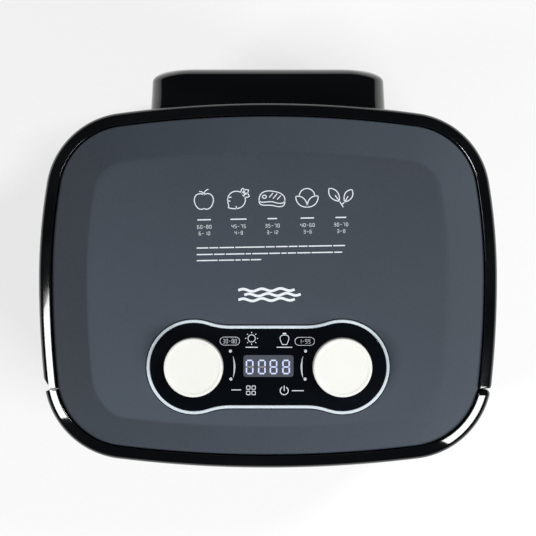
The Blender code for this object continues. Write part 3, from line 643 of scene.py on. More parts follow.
def spline(points: Sequence[Sequence[float]], count: int = 16) -> Array:
    """Cubic curves joined end to end; each takes three more points of the list."""
    curves = [bezier(points[start:start + 4], count)[:-1] for start in range(0, len(points) - 1, 3)]
    return np.concatenate([*curves, np.asarray(points[-1:], float)])


def mirrored(half: Array) -> Array:
    """A closed loop from its left or right half and that half's mirror image."""
    return np.concatenate([half[:-1], half[::-1][:-1] * (-1, 1)])


def rounded_rectangle(centre: Sequence[float], half: Sequence[float], radii: Sequence[float],
                      steps: int = 8) -> Array:
    """A closed loop of four corner arcs.

    Args:
        centre: Middle of the rectangle.
        half: Half its width and half its height.
        radii: Corner radii: right top, left top, left bottom, right bottom.
        steps: Points on each corner.

    Returns:
        The loop's points, anticlockwise.
    """
    corners = []
    for turn, radius in enumerate(radii):
        side = np.array(((1, 1), (-1, 1), (-1, -1), (1, -1))[turn])
        middle = np.asarray(centre) + side * (np.asarray(half) - radius)
        corners.append(ellipse(middle, (radius, radius), 90 * turn, 90 * turn + 90, steps))
    return np.concatenate(corners)


def even(loop: Array, count: int, closed: bool = True) -> Array:
    """Resample a path to count points at equal distances along it."""
    path = np.vstack([loop, loop[:1]]) if closed else loop
    reach = np.concatenate(([0.0], np.cumsum(np.linalg.norm(np.diff(path, axis=0), axis=1))))
    at = np.linspace(0.0, reach[-1], count, endpoint=not closed)
    return np.stack([np.interp(at, reach, path[:, axis]) for axis in range(path.shape[1])], axis=1)


def raised(loop: Array, z: float) -> Array:
    """A flat loop lifted to one height."""
    return np.column_stack([loop, np.full(len(loop), z)])


def tube(path: Array, width: float | Array, height: float, sides: int = 8, closed: bool = False,
         up: Sequence[float] = (0.0, 0.0, 1.0)) -> Grid:
    """A bar of elliptical section carried along a path.

    Each section lies across the path: its points are the path's point plus half the width times
    cosine along the sideways direction plus half the height times sine along the upward one.

    Args:
        path: The path's points.
        width: Full width of the section, sideways: one value, or one for each point.
        height: Full height of the section, upwards.
        sides: Points round the section.
        closed: The path joins up.
        up: Rough upward direction.

    Returns:
        The closed grid.
    """
    if closed:
        tangent = np.roll(path, -1, axis=0) - np.roll(path, 1, axis=0)
    else:
        tangent = np.gradient(path, axis=0)
    tangent /= np.linalg.norm(tangent, axis=1, keepdims=True)
    sideways = np.cross(np.broadcast_to(np.asarray(up, float), tangent.shape), tangent)
    sideways /= np.linalg.norm(sideways, axis=1, keepdims=True)
    upwards = np.cross(tangent, sideways)
    angle = np.linspace(0.0, 2 * np.pi, sides, endpoint=False) + np.pi / sides
    reach = 0.5 * np.broadcast_to(width, len(path))[:, None] * np.cos(angle)
    points = (path[:, None, :] + sideways[:, None, :] * reach[:, :, None]
              + upwards[:, None, :] * (0.5 * height * np.sin(angle))[None, :, None])
    return Grid(points, wrap_rows=closed, wrap_columns=True, cap_rows=not closed)


def turned(profile: Array, centre: Sequence[float], count: int = 96) -> Grid:
    """A profile of (radius, height) points spun about a vertical axis through centre."""
    angle = np.linspace(0.0, 2 * np.pi, count, endpoint=False)
    radius, height = np.maximum(profile[:, :1], 1e-5), profile[:, 1:2]
    points = np.stack([centre[0] + radius * np.cos(angle), centre[1] + radius * np.sin(angle),
                       height + 0.0 * angle], axis=2)
    return Grid(points, cap_rows=True)


def upright(loop: Array, low: float, high: float) -> Grid:
    """A prism that stands on a closed loop."""
    return Grid(np.stack([raised(loop, z) for z in (low, high)]), cap_rows=True)


def block(low: Sequence[float], high: Sequence[float]) -> Grid:
    """A box: a prism on its four corners."""
    corners = np.array([(low[0], low[1]), (high[0], low[1]), (high[0], high[1]), (low[0], high[1])], float)
    return upright(corners, low[2], high[2])


def rounded_profile(points: Sequence[Sequence[float]], radii: Sequence[float], steps: int = 5) -> Array:
    """A polyline whose inner corners are rounded.

    Each corner is replaced by a curve from the point a radius before it to the point a radius
    after it: the quadratic Bernstein sum with the corner as its middle point.

    Args:
        points: The polyline's points.
        radii: How far each corner is cut back; the first and last are not used.
        steps: Points on each rounded corner.

    Returns:
        The rounded polyline.
    """
    corners = np.asarray(points, float)
    made = [corners[:1]]
    t = np.linspace(0.0, 1.0, steps)[:, None]
    for before, corner, after, radius in zip(corners, corners[1:], corners[2:], radii[1:]):
        start = corner + (before - corner) / np.linalg.norm(before - corner) * radius
        stop = corner + (after - corner) / np.linalg.norm(after - corner) * radius
        made.append((1 - t) ** 2 * start + 2 * (1 - t) * t * corner + t ** 2 * stop)
    made.append(corners[-1:])
    return np.concatenate(made)


# --------------------------------------------------------------------------- the body's plan
@dataclass(frozen=True)
class QuarterArcs:
    """Radii of a quarter of the plan: its side, its end and the corner between, and its depth."""

    depth: float
    side: float
    end: float
    corner: float


@dataclass
class Plan:
    """The body's bowed, round-cornered outline, as twelve arcs walked anticlockwise.

    Attributes:
        half_width: Half the body's width.
        widest_y: Where it is widest.
        front: Arcs of the front quarters.
        rear: Arcs of the rear quarters.
    """

    half_width: float
    widest_y: float
    front: QuarterArcs
    rear: QuarterArcs
    arcs: list[tuple[Array, float, float, float]] = field(default_factory=list)

    def __post_init__(self) -> None:
        """Lay out the arcs of all four quarters."""
        rear, front = self._quarter(self.rear), self._quarter(self.front)
        flips = ((rear, 1, 1), (rear, -1, 1), (front, -1, -1), (front, 1, -1))
        for quarter, flip_x, flip_y in flips:
            ordered = quarter if flip_x == flip_y else quarter[::-1]
            for centre, radius, start, stop in ordered:
                ends = [math.atan2(flip_y * math.sin(a), flip_x * math.cos(a)) for a in (start, stop)]
                if flip_x != flip_y:
                    ends.reverse()
                begin = ends[0] % (2 * math.pi)
                sweep = (ends[1] - ends[0]) % (2 * math.pi)
                place = np.array((flip_x * centre[0], flip_y * centre[1] + self.widest_y))
                self.arcs.append((place, radius, begin, sweep))

    def _quarter(self, arcs: QuarterArcs) -> list[tuple[Array, float, float, float]]:
        """Centres, radii and angles of a right rear quarter whose arcs meet smoothly."""
        side_centre = np.array((self.half_width - arcs.side, 0.0))
        end_centre = np.array((0.0, arcs.depth - arcs.end))
        apart = float(np.linalg.norm(end_centre - side_centre))
        reach = ((arcs.side - arcs.corner) ** 2 - (arcs.end - arcs.corner) ** 2 + apart ** 2) / (2 * apart)
        along = (end_centre - side_centre) / apart
        across = np.array((-along[1], along[0])) * math.sqrt((arcs.side - arcs.corner) ** 2 - reach ** 2)
        corner = max((side_centre + along * reach + across, side_centre + along * reach - across),
                     key=lambda point: point.sum())
        turn_side = math.atan2(*(corner - side_centre)[::-1])
        turn_end = math.atan2(*(corner - end_centre)[::-1])
        return [(side_centre, arcs.side, 0.0, turn_side), (corner, arcs.corner, turn_side, turn_end),
                (end_centre, arcs.end, turn_end, math.pi / 2)]

    @property
    def marks(self) -> Array:
        """Distance at which each arc starts, and the whole length: the rear is 3, left 6, front 9."""
        return np.concatenate(([0.0], np.cumsum([radius * sweep for _, radius, _, sweep in self.arcs])))

    def at(self, distance: Array) -> tuple[Array, Array]:
        """Points and outward directions at distances round the outline.

        Args:
            distance: Distances from the rightmost point, anticlockwise.

        Returns:
            The points and the unit directions, with one more axis of two.
        """
        starts = self.marks
        walked = np.mod(distance, starts[-1])
        which = np.clip(np.searchsorted(starts, walked, side="right") - 1, 0, len(self.arcs) - 1)
        centre = np.array([arc[0] for arc in self.arcs])[which]
        radius = np.array([arc[1] for arc in self.arcs])[which]
        begin = np.array([arc[2] for arc in self.arcs])[which]
        angle = begin + (walked - starts[which]) / radius
        direction = np.stack([np.cos(angle), np.sin(angle)], axis=-1)
        return centre + radius[..., None] * direction, direction

    def crossing(self, y: float, right: bool, inset: float = 0.0) -> float:
        """How far round the outline's front half, moved in by inset, crosses y on one side."""
        marks = self.marks
        walked = np.linspace(*((marks[9], marks[12]) if right else (marks[6], marks[9])), 1500)[:-1]
        point, direction = self.at(walked)
        heights = point[:, 1] - inset * direction[:, 1]
        order = np.argsort(heights)
        return float(np.interp(y, heights[order], walked[order]))

    def crossings(self, y: float, right: bool, insets: Array) -> Array:
        """The crossing of y for each inset."""
        return np.array([self.crossing(y, right, inset) for inset in insets])

    def surface(self, distance: Array, inset: Array, height: Array) -> Array:
        """Points P = outline(distance) - inset * outward, at a height.

        Args:
            distance: Distances round the outline, of any shape that broadcasts with the others.
            inset: How far in from the outline.
            height: Height above the floor.

        Returns:
            The points, with one more axis of three.
        """
        distance, inset, height = np.broadcast_arrays(distance, inset, height)
        point, direction = self.at(distance)
        flat = point - inset[..., None] * direction
        return np.concatenate([flat, height[..., None]], axis=-1)

    def slab(self, loop: Array, layers: Sequence[tuple[float, float]]) -> Grid:
        """A closed pad that follows the outline.

        Args:
            loop: Points (distance, height) of the pad's edge, closed.
            layers: For each ring, how far in from the outline it lies and how far it shrinks the
                edge towards the middle, as a share from 0 to 1.

        Returns:
            The grid, closed by a face at each end.
        """
        middle = (loop.max(axis=0) + loop.min(axis=0)) / 2
        rings = []
        for inset, share in layers:
            edge = middle + (loop - middle) * (1.0 - share)
            rings.append(self.surface(edge[:, 0], inset, edge[:, 1]))
        return Grid(np.stack(rings), cap_rows=True)


@dataclass(frozen=True)
class RimSection:
    """Section of the rolled rim: a wall, a tight outer round, a band that rises inwards, a small lip.

    Attributes:
        top: Height of the crest.
        width: Width of the rim, outside to inside.
        bottom: Height of the wall's lower edge.
        tilt: Slope of the band, in degrees.
        outer_cut: How far the outer corner is cut back by its round.
        lip_cut: Likewise for the inner corner.
        end_round: How far the ends' edges are eased.
    """

    top: float
    width: float
    bottom: float
    tilt: float = 22.5
    outer_cut: float = 0.0044
    lip_cut: float = 0.0012
    end_round: float = 0.0005

    def ease_ends(self, inset: Array, height: Array, last: bool = True) -> tuple[Array, Array]:
        """Draw the first and last sections in towards the wall's middle, which eases their edges.

        Args:
            inset: Rows by columns.
            height: Rows by columns.
            last: Ease the last row too.

        Returns:
            The eased inset and height.
        """
        inset, height = np.array(inset), np.array(height)
        for row in (0, -1) if last else (0,):
            middle = self.width / 2
            inset[row] += np.clip(middle - inset[row], -self.end_round, self.end_round) * 0.7
            height[row] -= np.where(height[row] > self.top - 0.010, self.end_round * 0.7, 0.0)
        return inset, height

    def profile(self, inner_wall: Array) -> Array:
        """The closed section as (inset, height): up the outside, over the rim and down inner_wall."""
        rise = math.tan(math.radians(self.tilt)) * self.width
        shoulder = self.top + 0.00033 - rise
        over = rounded_profile([(0.0, shoulder - 0.008), (0.0, shoulder), (self.width, shoulder + rise),
                                (self.width, self.top - 0.006)], [0.0, self.outer_cut, self.lip_cut], 8)
        levels = np.linspace(self.bottom + 0.0008, shoulder - 0.008, 14)[:-1]
        wall = np.column_stack([np.zeros(len(levels)), levels])
        return np.concatenate([[(0.0008, self.bottom)], wall, over, inner_wall])


@dataclass
class Frame:
    """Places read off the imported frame, shared by every sub-assembly.

    Attributes:
        plan: The body's outline.
        rim: The rolled rim's section.
        split_y: Where the shell ends and the door begins.
        hinge: The hinge's axis.
    """

    plan: Plan
    rim: RimSection
    split_y: float
    hinge: Vector

    @classmethod
    def read(cls) -> "Frame":
        """Measure the frame's nodes.

        Returns:
            The measured places.
        """
        shell_low, shell_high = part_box("outer_shell")
        door_low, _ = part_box("door_frame")
        pin_low, pin_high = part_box("hinge_pin_lower")
        plan = Plan(shell_high.x, WIDEST_Y, QuarterArcs(WIDEST_Y - door_low.y, *FRONT_RADII),
                    QuarterArcs(shell_high.y - WIDEST_Y, *REAR_RADII))
        rim = RimSection(shell_high.z, RIM_WIDTH, shell_low.z)
        return cls(plan, rim, shell_low.y, (pin_low + pin_high) / 2)

    def edge_x(self, y: float, right: bool) -> float:
        """Where the outline's front half crosses y on one side."""
        return float(self.plan.surface(np.array(self.plan.crossing(y, right)), 0.0, 0.0)[0])

    def post(self, corners: Array) -> Grid:
        """A prism on these corners that reaches past the body at both ends."""
        return upright(corners, self.rim.bottom - OVERSHOOT, self.rim.top + OVERSHOOT)


def cylinder(start: Sequence[float], end: Sequence[float], radius: float, sides: int = 64) -> Grid:
    """A round bar from start to end."""
    path = np.array([start, end], float)
    up = (1.0, 0.0, 0.0) if abs(path[1, 0] - path[0, 0]) < 1e-9 else (0.0, 0.0, 1.0)
    return tube(path, 2 * radius, 2 * radius, sides, up=up)


def cutter(*grids: Grid) -> Skin:
    """Closed grids gathered as one cutting tool."""
    tool = Skin("cutter", GLOSS_BLACK, Body.CABINET)
    for grid in grids:
        tool.add(grid)
    return tool


# --------------------------------------------------------------------------- body and door
@dataclass
class BodyShell:
    """The gloss shell round the sides and back.

    Attributes:
        frame: Places in the frame.
        wall: Wall thickness under the rim.
        rim_depth: Height of the solid rim.
        jamb: Length of the solid jamb at each end.
        rows: Sections between one end and the other.
    """

    frame: Frame
    wall: float = 0.0025
    rim_depth: float = 0.014
    jamb: float = 0.009
    rows: int = 420

    def section(self, wall: float) -> Array:
        """The section (inset, height) where the wall under the rim has this thickness."""
        rim = self.frame.rim
        levels = np.linspace(rim.top - self.rim_depth - 0.004, rim.bottom, 8)
        inner = np.column_stack([np.full(len(levels), wall), levels])
        return rim.profile(np.concatenate([[(rim.width, rim.top - self.rim_depth)], inner]))

    def skin(self) -> Grid:
        """The swept shell: thick at both jambs and thin between."""
        plan, split = self.frame.plan, self.frame.split_y
        thin, thick = self.section(self.wall), self.section(self.frame.rim.width)
        start = plan.crossings(split, True, thick[:, 0]) - plan.marks[-1]
        stop = plan.crossings(split, False, thick[:, 0])
        share = np.linspace(0.0, 1.0, self.rows)
        near = self.jamb / float(np.mean(stop - start))
        bevel = self.frame.rim.end_round / float(np.mean(stop - start))
        extra = [bevel, near, near + 0.0004, 1 - near - 0.0004, 1 - near, 1 - bevel]
        share = np.sort(np.concatenate([share, extra]))
        solid = (np.minimum(share, 1 - share) <= near + 1e-9)[:, None]
        inset = np.where(solid, thick[None, :, 0], thin[None, :, 0])
        distance = start + share[:, None] * (stop - start)
        inset, height = self.frame.rim.ease_ends(inset, np.broadcast_to(thick[None, :, 1], inset.shape))
        return Grid(plan.surface(distance, inset, height), cap_rows=True)

    def finger_grip(self) -> Grid:
        """The V groove that lets a finger under the door's free end."""
        split = self.frame.split_y
        edge = self.frame.edge_x(split, False)
        corners = rounded_profile([(edge - 0.004, split - 0.002), (edge + 0.0050, split - 0.002),
                                   (edge + 0.0044, split + 0.0006), (edge - 0.0003, split + 0.0074),
                                   (edge - 0.004, split + 0.0128)], [0.0, 0.0, 0.0008, 0.0018], 5)
        return self.frame.post(corners)

    def hinge_edge(self) -> Grid:
        """The small bevel that clears the door's round nose."""
        split = self.frame.split_y
        edge = self.frame.edge_x(split, True)
        corners = np.array([(edge + 0.003, split - 0.001), (edge + 0.003, split + 0.0042),
                            (edge - 0.0002, split + 0.0014), (edge - 0.0016, split - 0.001)])
        return self.frame.post(corners)

    def build(self) -> None:
        """Make the shell, with its grip, pockets and holes."""
        magnet_low, magnet_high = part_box("catch_magnet")
        tools = [self.finger_grip(), self.hinge_edge(), swollen(magnet_low, magnet_high, POCKET_GAP)]
        for word in ("lower", "upper"):
            low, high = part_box(f"hinge_lug_{word}")
            tools.append(block((low.x + 0.0012, self.frame.split_y - 0.002, low.z - 0.0006),
                               (high.x - 0.0012, high.y + 0.0003, high.z + 0.0006)))
        for node, radius in (("motor_body", MOTOR_HOLE), ("cord_gland", GLAND_HOLE)):
            low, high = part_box(node)
            middle = (low + high) / 2
            tools.append(cylinder((middle.x, 0.10, middle.z), (middle.x, 0.14, middle.z), radius))
        shell = Skin("body_shell", GLOSS_BLACK, Body.CABINET).add(self.skin())
        shell.finish_piece("gloss_black", ["outer_shell"], [cutter(tool) for tool in tools])


def swollen(low: Vector, high: Vector, grow: float) -> Grid:
    """A box grown by the same amount on every side."""
    room = Vector((grow, grow, grow))
    return block(low - room, high + room)


@dataclass
class Door:
    """The wrap-round door: gloss frame, curved smoked window and its gasket.

    Attributes:
        frame: Places in the frame.
        opening: Half width, low edge, high edge and corner radius of the window's opening.
        rebate: How far the pane's seat reaches beyond the opening.
        edge_round: Radius of the opening's outer edge.
        rows: Sections between the free end and the hinge.
    """

    frame: Frame
    opening: tuple[float, float, float, float] = (0.1122, 0.034, 0.226, 0.014)
    rebate: float = 0.006
    edge_round: float = 0.0014
    rows: int = 300

    def window_loop(self, grow: float, count: int = 260) -> Array:
        """The opening's edge as (distance, height), grown outwards."""
        half, low, high, corner = self.opening
        centre = (self.frame.plan.marks[9], (low + high) / 2)
        loop = rounded_rectangle(centre, (half + grow, (high - low) / 2 + grow), [corner + grow] * 4, 12)
        return even(loop, count)

    def lofted(self, layers: Sequence[tuple[float, float]]) -> Grid:
        """The opening carried inwards, one (inset, grow) a ring."""
        rings = []
        for inset, grow in layers:
            loop = self.window_loop(grow)
            rings.append(self.frame.plan.surface(loop[:, 0], inset, loop[:, 1]))
        return Grid(np.stack(rings), cap_rows=True)

    def skin(self) -> Grid:
        """The swept frame: square at the free end, round at the hinge.

        Beyond the hinge each section is squeezed about its middle by the cosine of an angle and
        moved back by its sine, so that the end is a half round.
        """
        plan, rim = self.frame.plan, self.frame.rim
        levels = np.linspace(rim.top - 0.014, rim.bottom, 12)
        section = rim.profile(np.column_stack([np.full(len(levels), rim.width), levels]))
        inset, height = section[:, 0], section[:, 1]
        start = plan.crossings(self.frame.split_y - DOOR_GAP, False, inset)
        stop = plan.crossings(self.frame.hinge.y, True, inset)
        bevel = rim.end_round / float(np.mean(stop - start))
        share = np.sort(np.append(np.linspace(0.0, 1.0, self.rows), bevel))[:, None]
        whole = (len(share), len(inset))
        eased = rim.ease_ends(np.broadcast_to(inset, whole), np.broadcast_to(height, whole), last=False)
        rows = [plan.surface(start + share * (stop - start), *eased)]
        middle = rim.width / 2
        for turn in np.radians(np.linspace(9.0, 86.0, 10)):
            squeezed = middle + (inset - middle) * math.cos(turn)
            top = rim.top - 0.0055
            lowered = np.where(height > top, top + (height - top) * math.cos(turn), height)
            reach = self.frame.hinge.y + (middle - 0.0001) * math.sin(turn)
            rows.append(plan.surface(plan.crossings(reach, True, squeezed), squeezed, lowered)[None])
        return Grid(np.concatenate(rows), cap_rows=True)

    def build(self) -> None:
        """Make the door's pieces."""
        turn = np.linspace(0.0, 1.0, 5)
        edge = self.edge_round
        flare = [(edge * t, edge - edge * math.sqrt(1 - (1 - t) ** 2)) for t in turn]
        layers = [(-0.014, edge + 0.0003), *flare, (0.0030, 0.0),
                  (0.0030, self.rebate), (0.0120, self.rebate)]
        plate_low, plate_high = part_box("catch_plate")
        tools = [self.lofted(layers), swollen(plate_low, plate_high, POCKET_GAP), self.finger_bevel()]
        for word in ("lower", "upper"):
            low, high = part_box(f"hinge_lug_{word}")
            tools.append(block((self.frame.hinge.x - 0.009, self.frame.hinge.y - 0.0060, low.z - 0.0004),
                               (self.frame.hinge.x + 0.009, self.frame.hinge.y + 0.0070, high.z + 0.0004)))
            low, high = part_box(f"hinge_pin_{word}")
            centre, reach = (low + high) / 2, Vector((0, 0, 0.0135))
            tools.append(cylinder(centre - reach, centre + reach, 0.0018, 24))
        frame = Skin("door_shell", GLOSS_BLACK, Body.DOOR).add(self.skin())
        frame.finish_piece("gloss_black", ["door_frame"], [cutter(tool) for tool in tools])
        self.build_pane()

    def finger_bevel(self) -> Grid:
        """The slanting outer corner of the free end, below the finger grip."""
        end = self.frame.split_y - DOOR_GAP
        edge = self.frame.edge_x(end, False)
        corners = np.array([(edge + 0.0048, end + 0.0003), (edge - 0.0060, end + 0.0003),
                            (edge - 0.0060, end - 0.0047), (edge + 0.0043, end - 0.00002)])
        return self.frame.post(corners)

    def build_pane(self) -> None:
        """The curved window and the gasket ring behind it."""
        loop = self.window_loop(self.rebate - 0.0003)
        front, back = 0.0033, 0.0056
        shares = (0.985, 0.8, 0.6, 0.4, 0.2, 0.03)
        layers = ([(front, share) for share in shares] + [(front, 0.002), (front + 0.0003, 0.0)]
                  + [(back - 0.0003, 0.0), (back, 0.002)] + [(back, share) for share in shares[::-1]])
        pane = Skin("window_pane", SMOKED, Body.DOOR).add(self.frame.plan.slab(loop, layers))
        pane.finish_piece("smoked_window", ["door_window"])
        outer, inner = self.rebate - 0.0003, 0.0010
        section = [(0.0059, inner + 0.0004), (0.0062, inner), (0.0079, inner + 0.0001),
                   (0.0084, inner + 0.0009), (0.0081, inner + 0.0020), (0.0085, inner + 0.0030),
                   (0.0080, outer - 0.0002), (0.0075, outer), (0.0062, outer), (0.0059, outer - 0.0004)]
        ring = self.lofted(section)
        ring.cap_rows, ring.wrap_rows = False, True
        Skin("window_seal", RUBBER, Body.DOOR).add(ring).finish_piece("rubber", ["window_gasket"])


@dataclass
class RearHousing:
    """The gloss box behind: round shoulders, sloping top and rounded far corners.

    Attributes:
        frame: Places in the frame.
        corner: Half width at which the far corners begin, their width and their depth.
        mouth_y: Where it starts, inside the shell.
        wall: Its thickness.
    """

    frame: Frame
    corner: tuple[float, float, float] = (0.0680, 0.0212, 0.0095)
    mouth_y: float = 0.105
    wall: float = 0.0025

    def ring(self, y: float, half: float, low: float, high: float, top: float, bottom: float) -> Array:
        """One section: a rectangle with large top and small bottom rounds."""
        loop = rounded_rectangle((0.0, (low + high) / 2), (half, (high - low) / 2),
                                 (top, top, bottom, bottom), 14)
        dense = even(loop, 220)
        return np.column_stack([dense[:, 0], np.full(len(dense), y), dense[:, 1]])

    def rings(self, shrink: float) -> list[Array]:
        """Sections from the mouth to the far face, shrunk all round."""
        _, high_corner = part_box("rear_housing")
        start, reach, depth = self.corner
        far = high_corner.y - shrink
        made = []
        for y in np.linspace(self.mouth_y, far - depth, 6)[:-1]:
            along = (y - self.mouth_y) / (far - depth - self.mouth_y)
            made.append(self.ring(y, 0.0905 - 0.0013 * along - shrink, 0.043 + 0.002 * along + shrink,
                                  0.2560 - 0.0120 * along - shrink, 0.024, 0.013))
        for turn in np.radians(np.linspace(0.0, 90.0, 12)):
            fall, back = 1 - math.cos(turn), math.sin(turn)
            made.append(self.ring(far - depth * (1 - back), start + reach * math.cos(turn) - shrink,
                                  0.045 + 0.013 * fall + shrink, 0.2440 - 0.0150 * fall - shrink,
                                  0.023 - 0.007 * fall, 0.012 - 0.005 * fall))
        return made

    def build(self) -> None:
        """Loft the outside and the inside, and cut the body's volume and the vent away."""
        skin = Grid(np.stack(self.rings(0.0)[::-1] + self.rings(self.wall)), cap_rows=True)
        plan = self.frame.plan
        loop = plan.surface(np.linspace(0.0, plan.marks[-1], 400, endpoint=False), -0.0003, 0.0)[:, :2]
        low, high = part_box("rear_vent_grille")
        vent = block((low.x - 0.0004, 0.140, low.z - 0.0004), (high.x + 0.0004, 0.160, high.z + 0.0004))
        piece = Skin("motor_housing", GLOSS_BLACK, Body.CABINET).add(skin)
        body = upright(loop, -OVERSHOOT, 0.30)
        piece.finish_piece("gloss_black", ["rear_housing"], [cutter(body), cutter(vent)])


# --------------------------------------------------------------------------- cover and controls
@dataclass(frozen=True)
class PanelOutline:
    """The control panel's outline: a lobe round each knob, a straight waist and hollow arcs between.

    Attributes:
        knob_x: How far each knob stands from the middle.
        knob_y: How far forward the knobs are.
        lobe: Radius of the round ends.
        waist: Half the depth between them.
        straight: Half the length of the waist.
    """

    knob_x: float
    knob_y: float
    lobe: float = 0.0353
    waist: float = 0.0309
    straight: float = 0.028

    def loop(self, grow: float, count: int = 420) -> Array:
        """The outline grown outwards.

        A hollow arc meets both the lobe and the waist smoothly when the square of its centre's
        distance from the lobe's centre is the square of the sum of the two radii.

        Args:
            grow: How far outwards.
            count: Points, evenly spread.

        Returns:
            The loop, anticlockwise from the right.
        """
        lobe, waist, offset = self.lobe + grow, self.waist + grow, self.knob_x - self.straight
        hollow = (offset ** 2 + waist ** 2 - lobe ** 2) / (2 * (lobe - waist))
        lean = math.degrees(math.atan2(offset, waist + hollow))
        end = ellipse((self.knob_x, 0.0), (lobe, lobe), 0.0, 90.0 + lean, 60)
        dip = ellipse((self.straight, waist + hollow), (hollow, hollow), lean - 90.0, -90.0, 20)
        quarter = np.concatenate([end, dip])
        half = np.concatenate([quarter, quarter[::-1] * (-1, 1)])
        return even(np.concatenate([half, half[::-1] * (1, -1)]), count) + (0.0, self.knob_y)

    def toward(self, points: Array, grow: float) -> Array:
        """The outline's points in the same directions from its middle as the given points."""
        loop = self.loop(grow, 2400) - (0.0, self.knob_y)
        angles = np.arctan2(loop[:, 1], loop[:, 0])
        reach = np.linalg.norm(loop, axis=1)
        order = np.argsort(angles)
        wanted = np.arctan2(points[:, 1] - self.knob_y, points[:, 0])
        found = np.interp(wanted, angles[order], reach[order], period=2 * math.pi)
        return np.column_stack([found * np.cos(wanted), found * np.sin(wanted) + self.knob_y])


@dataclass
class TopCover:
    """The textured top: sloping border, raised field, and the pocket that holds the controls.

    Attributes:
        frame: Places in the frame.
        panel: The control panel's outline.
        inset: Gap and rim between the body's outline and the cover.
        field_inset: Where the raised field begins.
        edge_drop: How far the border's edge lies below the field.
        wall: Thickness.
        pocket_floor: Height of the pocket's floor.
        columns: Points round each ring.
    """

    frame: Frame
    panel: PanelOutline
    inset: float = 0.0103
    field_inset: float = 0.0387
    edge_drop: float = 0.0040
    wall: float = 0.0025
    pocket_floor: float = 0.2697
    columns: int = 520

    def skin(self) -> Grid:
        """Rings from under the pocket, out over the skirt, back over the border and into the pocket.

        The field's edge is a uniform inset, drawn outwards by the fourth power of how squarely the
        outline faces the front, so that it stays clear of the panel there.
        """
        plan = self.frame.plan
        low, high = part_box("top_cover")
        top, edge = high.z, high.z - self.edge_drop
        at = np.linspace(0.0, plan.marks[-1], self.columns, endpoint=False)
        forward = np.clip(-plan.at(at)[1][:, 1], 0.0, 1.0) ** 4
        skirt = self.inset + self.wall
        profile = rounded_profile([(0.0362, top - self.wall), (0.0340, top - self.wall),
                                   (skirt, edge - self.wall), (skirt, low.z + 0.0004),
                                   (self.inset + 0.0012, low.z), (self.inset, low.z + 0.0004),
                                   (self.inset, edge), (self.field_inset, top),
                                   (self.field_inset + 0.0040, top)],
                                  [0.0, 0.001, 0.001, 0.0003, 0.0004, 0.0003, 0.0011, 0.0030], 6)
        rings = [plan.surface(at, inset - 0.0052 * forward * (inset > 0.03), z) for inset, z in profile]

        def across(ring: Array, grow: float, z: float, shares: Iterable[float]) -> list[Array]:
            """Rings between a ring and the panel's outline."""
            flat = ring[:, :2]
            target = self.panel.toward(flat, grow)
            return [raised(flat + (target - flat) * share, z) for share in shares]

        pocket = [(0.0011, top), (0.0008, top - 0.0001), (0.0006, top - 0.0005), (0.0006, self.pocket_floor)]
        floor = across(rings[0], 0.0028, self.pocket_floor - self.wall, (1.0,))
        below = across(rings[0], 0.0028, top - self.wall, (1.0, 0.75, 0.5, 0.25))
        above = across(rings[-1], pocket[0][0], top, (0.2, 0.4, 0.6, 0.8))
        wall = [ring for grow, z in pocket for ring in across(rings[-1], grow, z, (1.0,))]
        return Grid(np.stack(floor + below + rings + above + wall), cap_rows=True)

    def build(self) -> None:
        """Make the cover."""
        cover = Skin("textured_cover", COVER_GREY, Body.CABINET).add(self.skin())
        cover.finish_piece("anthracite_plastic", ["top_cover"], sharp=32.0)


@dataclass
class ControlPanel:
    """Silver bezel, black lens and the two knobs.

    Attributes:
        panel: The panel's outline.
        bezel: Width of the silver ring.
    """

    panel: PanelOutline
    bezel: float = 0.0023

    def build(self) -> None:
        """Make the bezel, the lens and the knobs."""
        low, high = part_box("control_bezel")
        width, top = self.bezel, high.z
        section = rounded_profile([(0.0, low.z), (0.0, top), (-width, top), (-width, low.z)],
                                  [0.0, 0.0007, 0.0007], 6)
        rings = [raised(self.panel.loop(grow), z) for grow, z in section]
        ring = Skin("panel_ring", SILVER_RING, Body.CABINET).add(Grid(np.stack(rings), wrap_rows=True))
        ring.finish_piece("silver_trim", ["control_bezel"])
        self.build_lens()
        self.build_knob("temperature_knob", Body.TEMPERATURE)
        self.build_knob("timer_knob", Body.TIMER)

    def build_lens(self) -> None:
        """A flat black pad inside the bezel, its edge eased."""
        low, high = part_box("control_lens")
        edge = self.panel.loop(-self.bezel - 0.0001) - (0.0, self.panel.knob_y)
        layers = [(1.0, low.z), (1.0, high.z - 0.0003), (0.9985, high.z - 0.00008), (0.9970, high.z),
                  (0.9965, high.z), (0.9, high.z), (0.5, high.z), (0.2, high.z), (0.02, high.z)]
        rings = [raised(edge * share + (0.0, self.panel.knob_y), z) for share, z in layers]
        lens = Skin("panel_lens", PANEL_BLACK, Body.CABINET).add(Grid(np.stack(rings), cap_rows=True))
        lens.finish_piece("gloss_black", ["control_lens"])

    @staticmethod
    def build_knob(node: str, body: Body) -> None:
        """A drafted knob with a raised rim round a shallow dish, and a hollow underneath."""
        low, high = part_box(node)
        radius, centre = (high.x - low.x) / 2, (low + high) / 2
        profile = rounded_profile([(0.004, low.z + 0.003), (radius - 0.003, low.z + 0.003),
                                   (radius - 0.003, low.z), (radius, low.z),
                                   (radius - 0.0003, high.z), (radius - 0.0023, high.z),
                                   (radius - 0.0031, high.z - 0.00035), (0.0, high.z - 0.00055)],
                                  [0.0, 0.0005, 0.0003, 0.0005, 0.0014, 0.0006, 0.0006], 7)
        knob = Skin(f"{node}_cap", KNOB_WHITE, body).add(turned(profile, centre, 160))
        knob.finish_piece("white_plastic", [node], sharp=50.0)


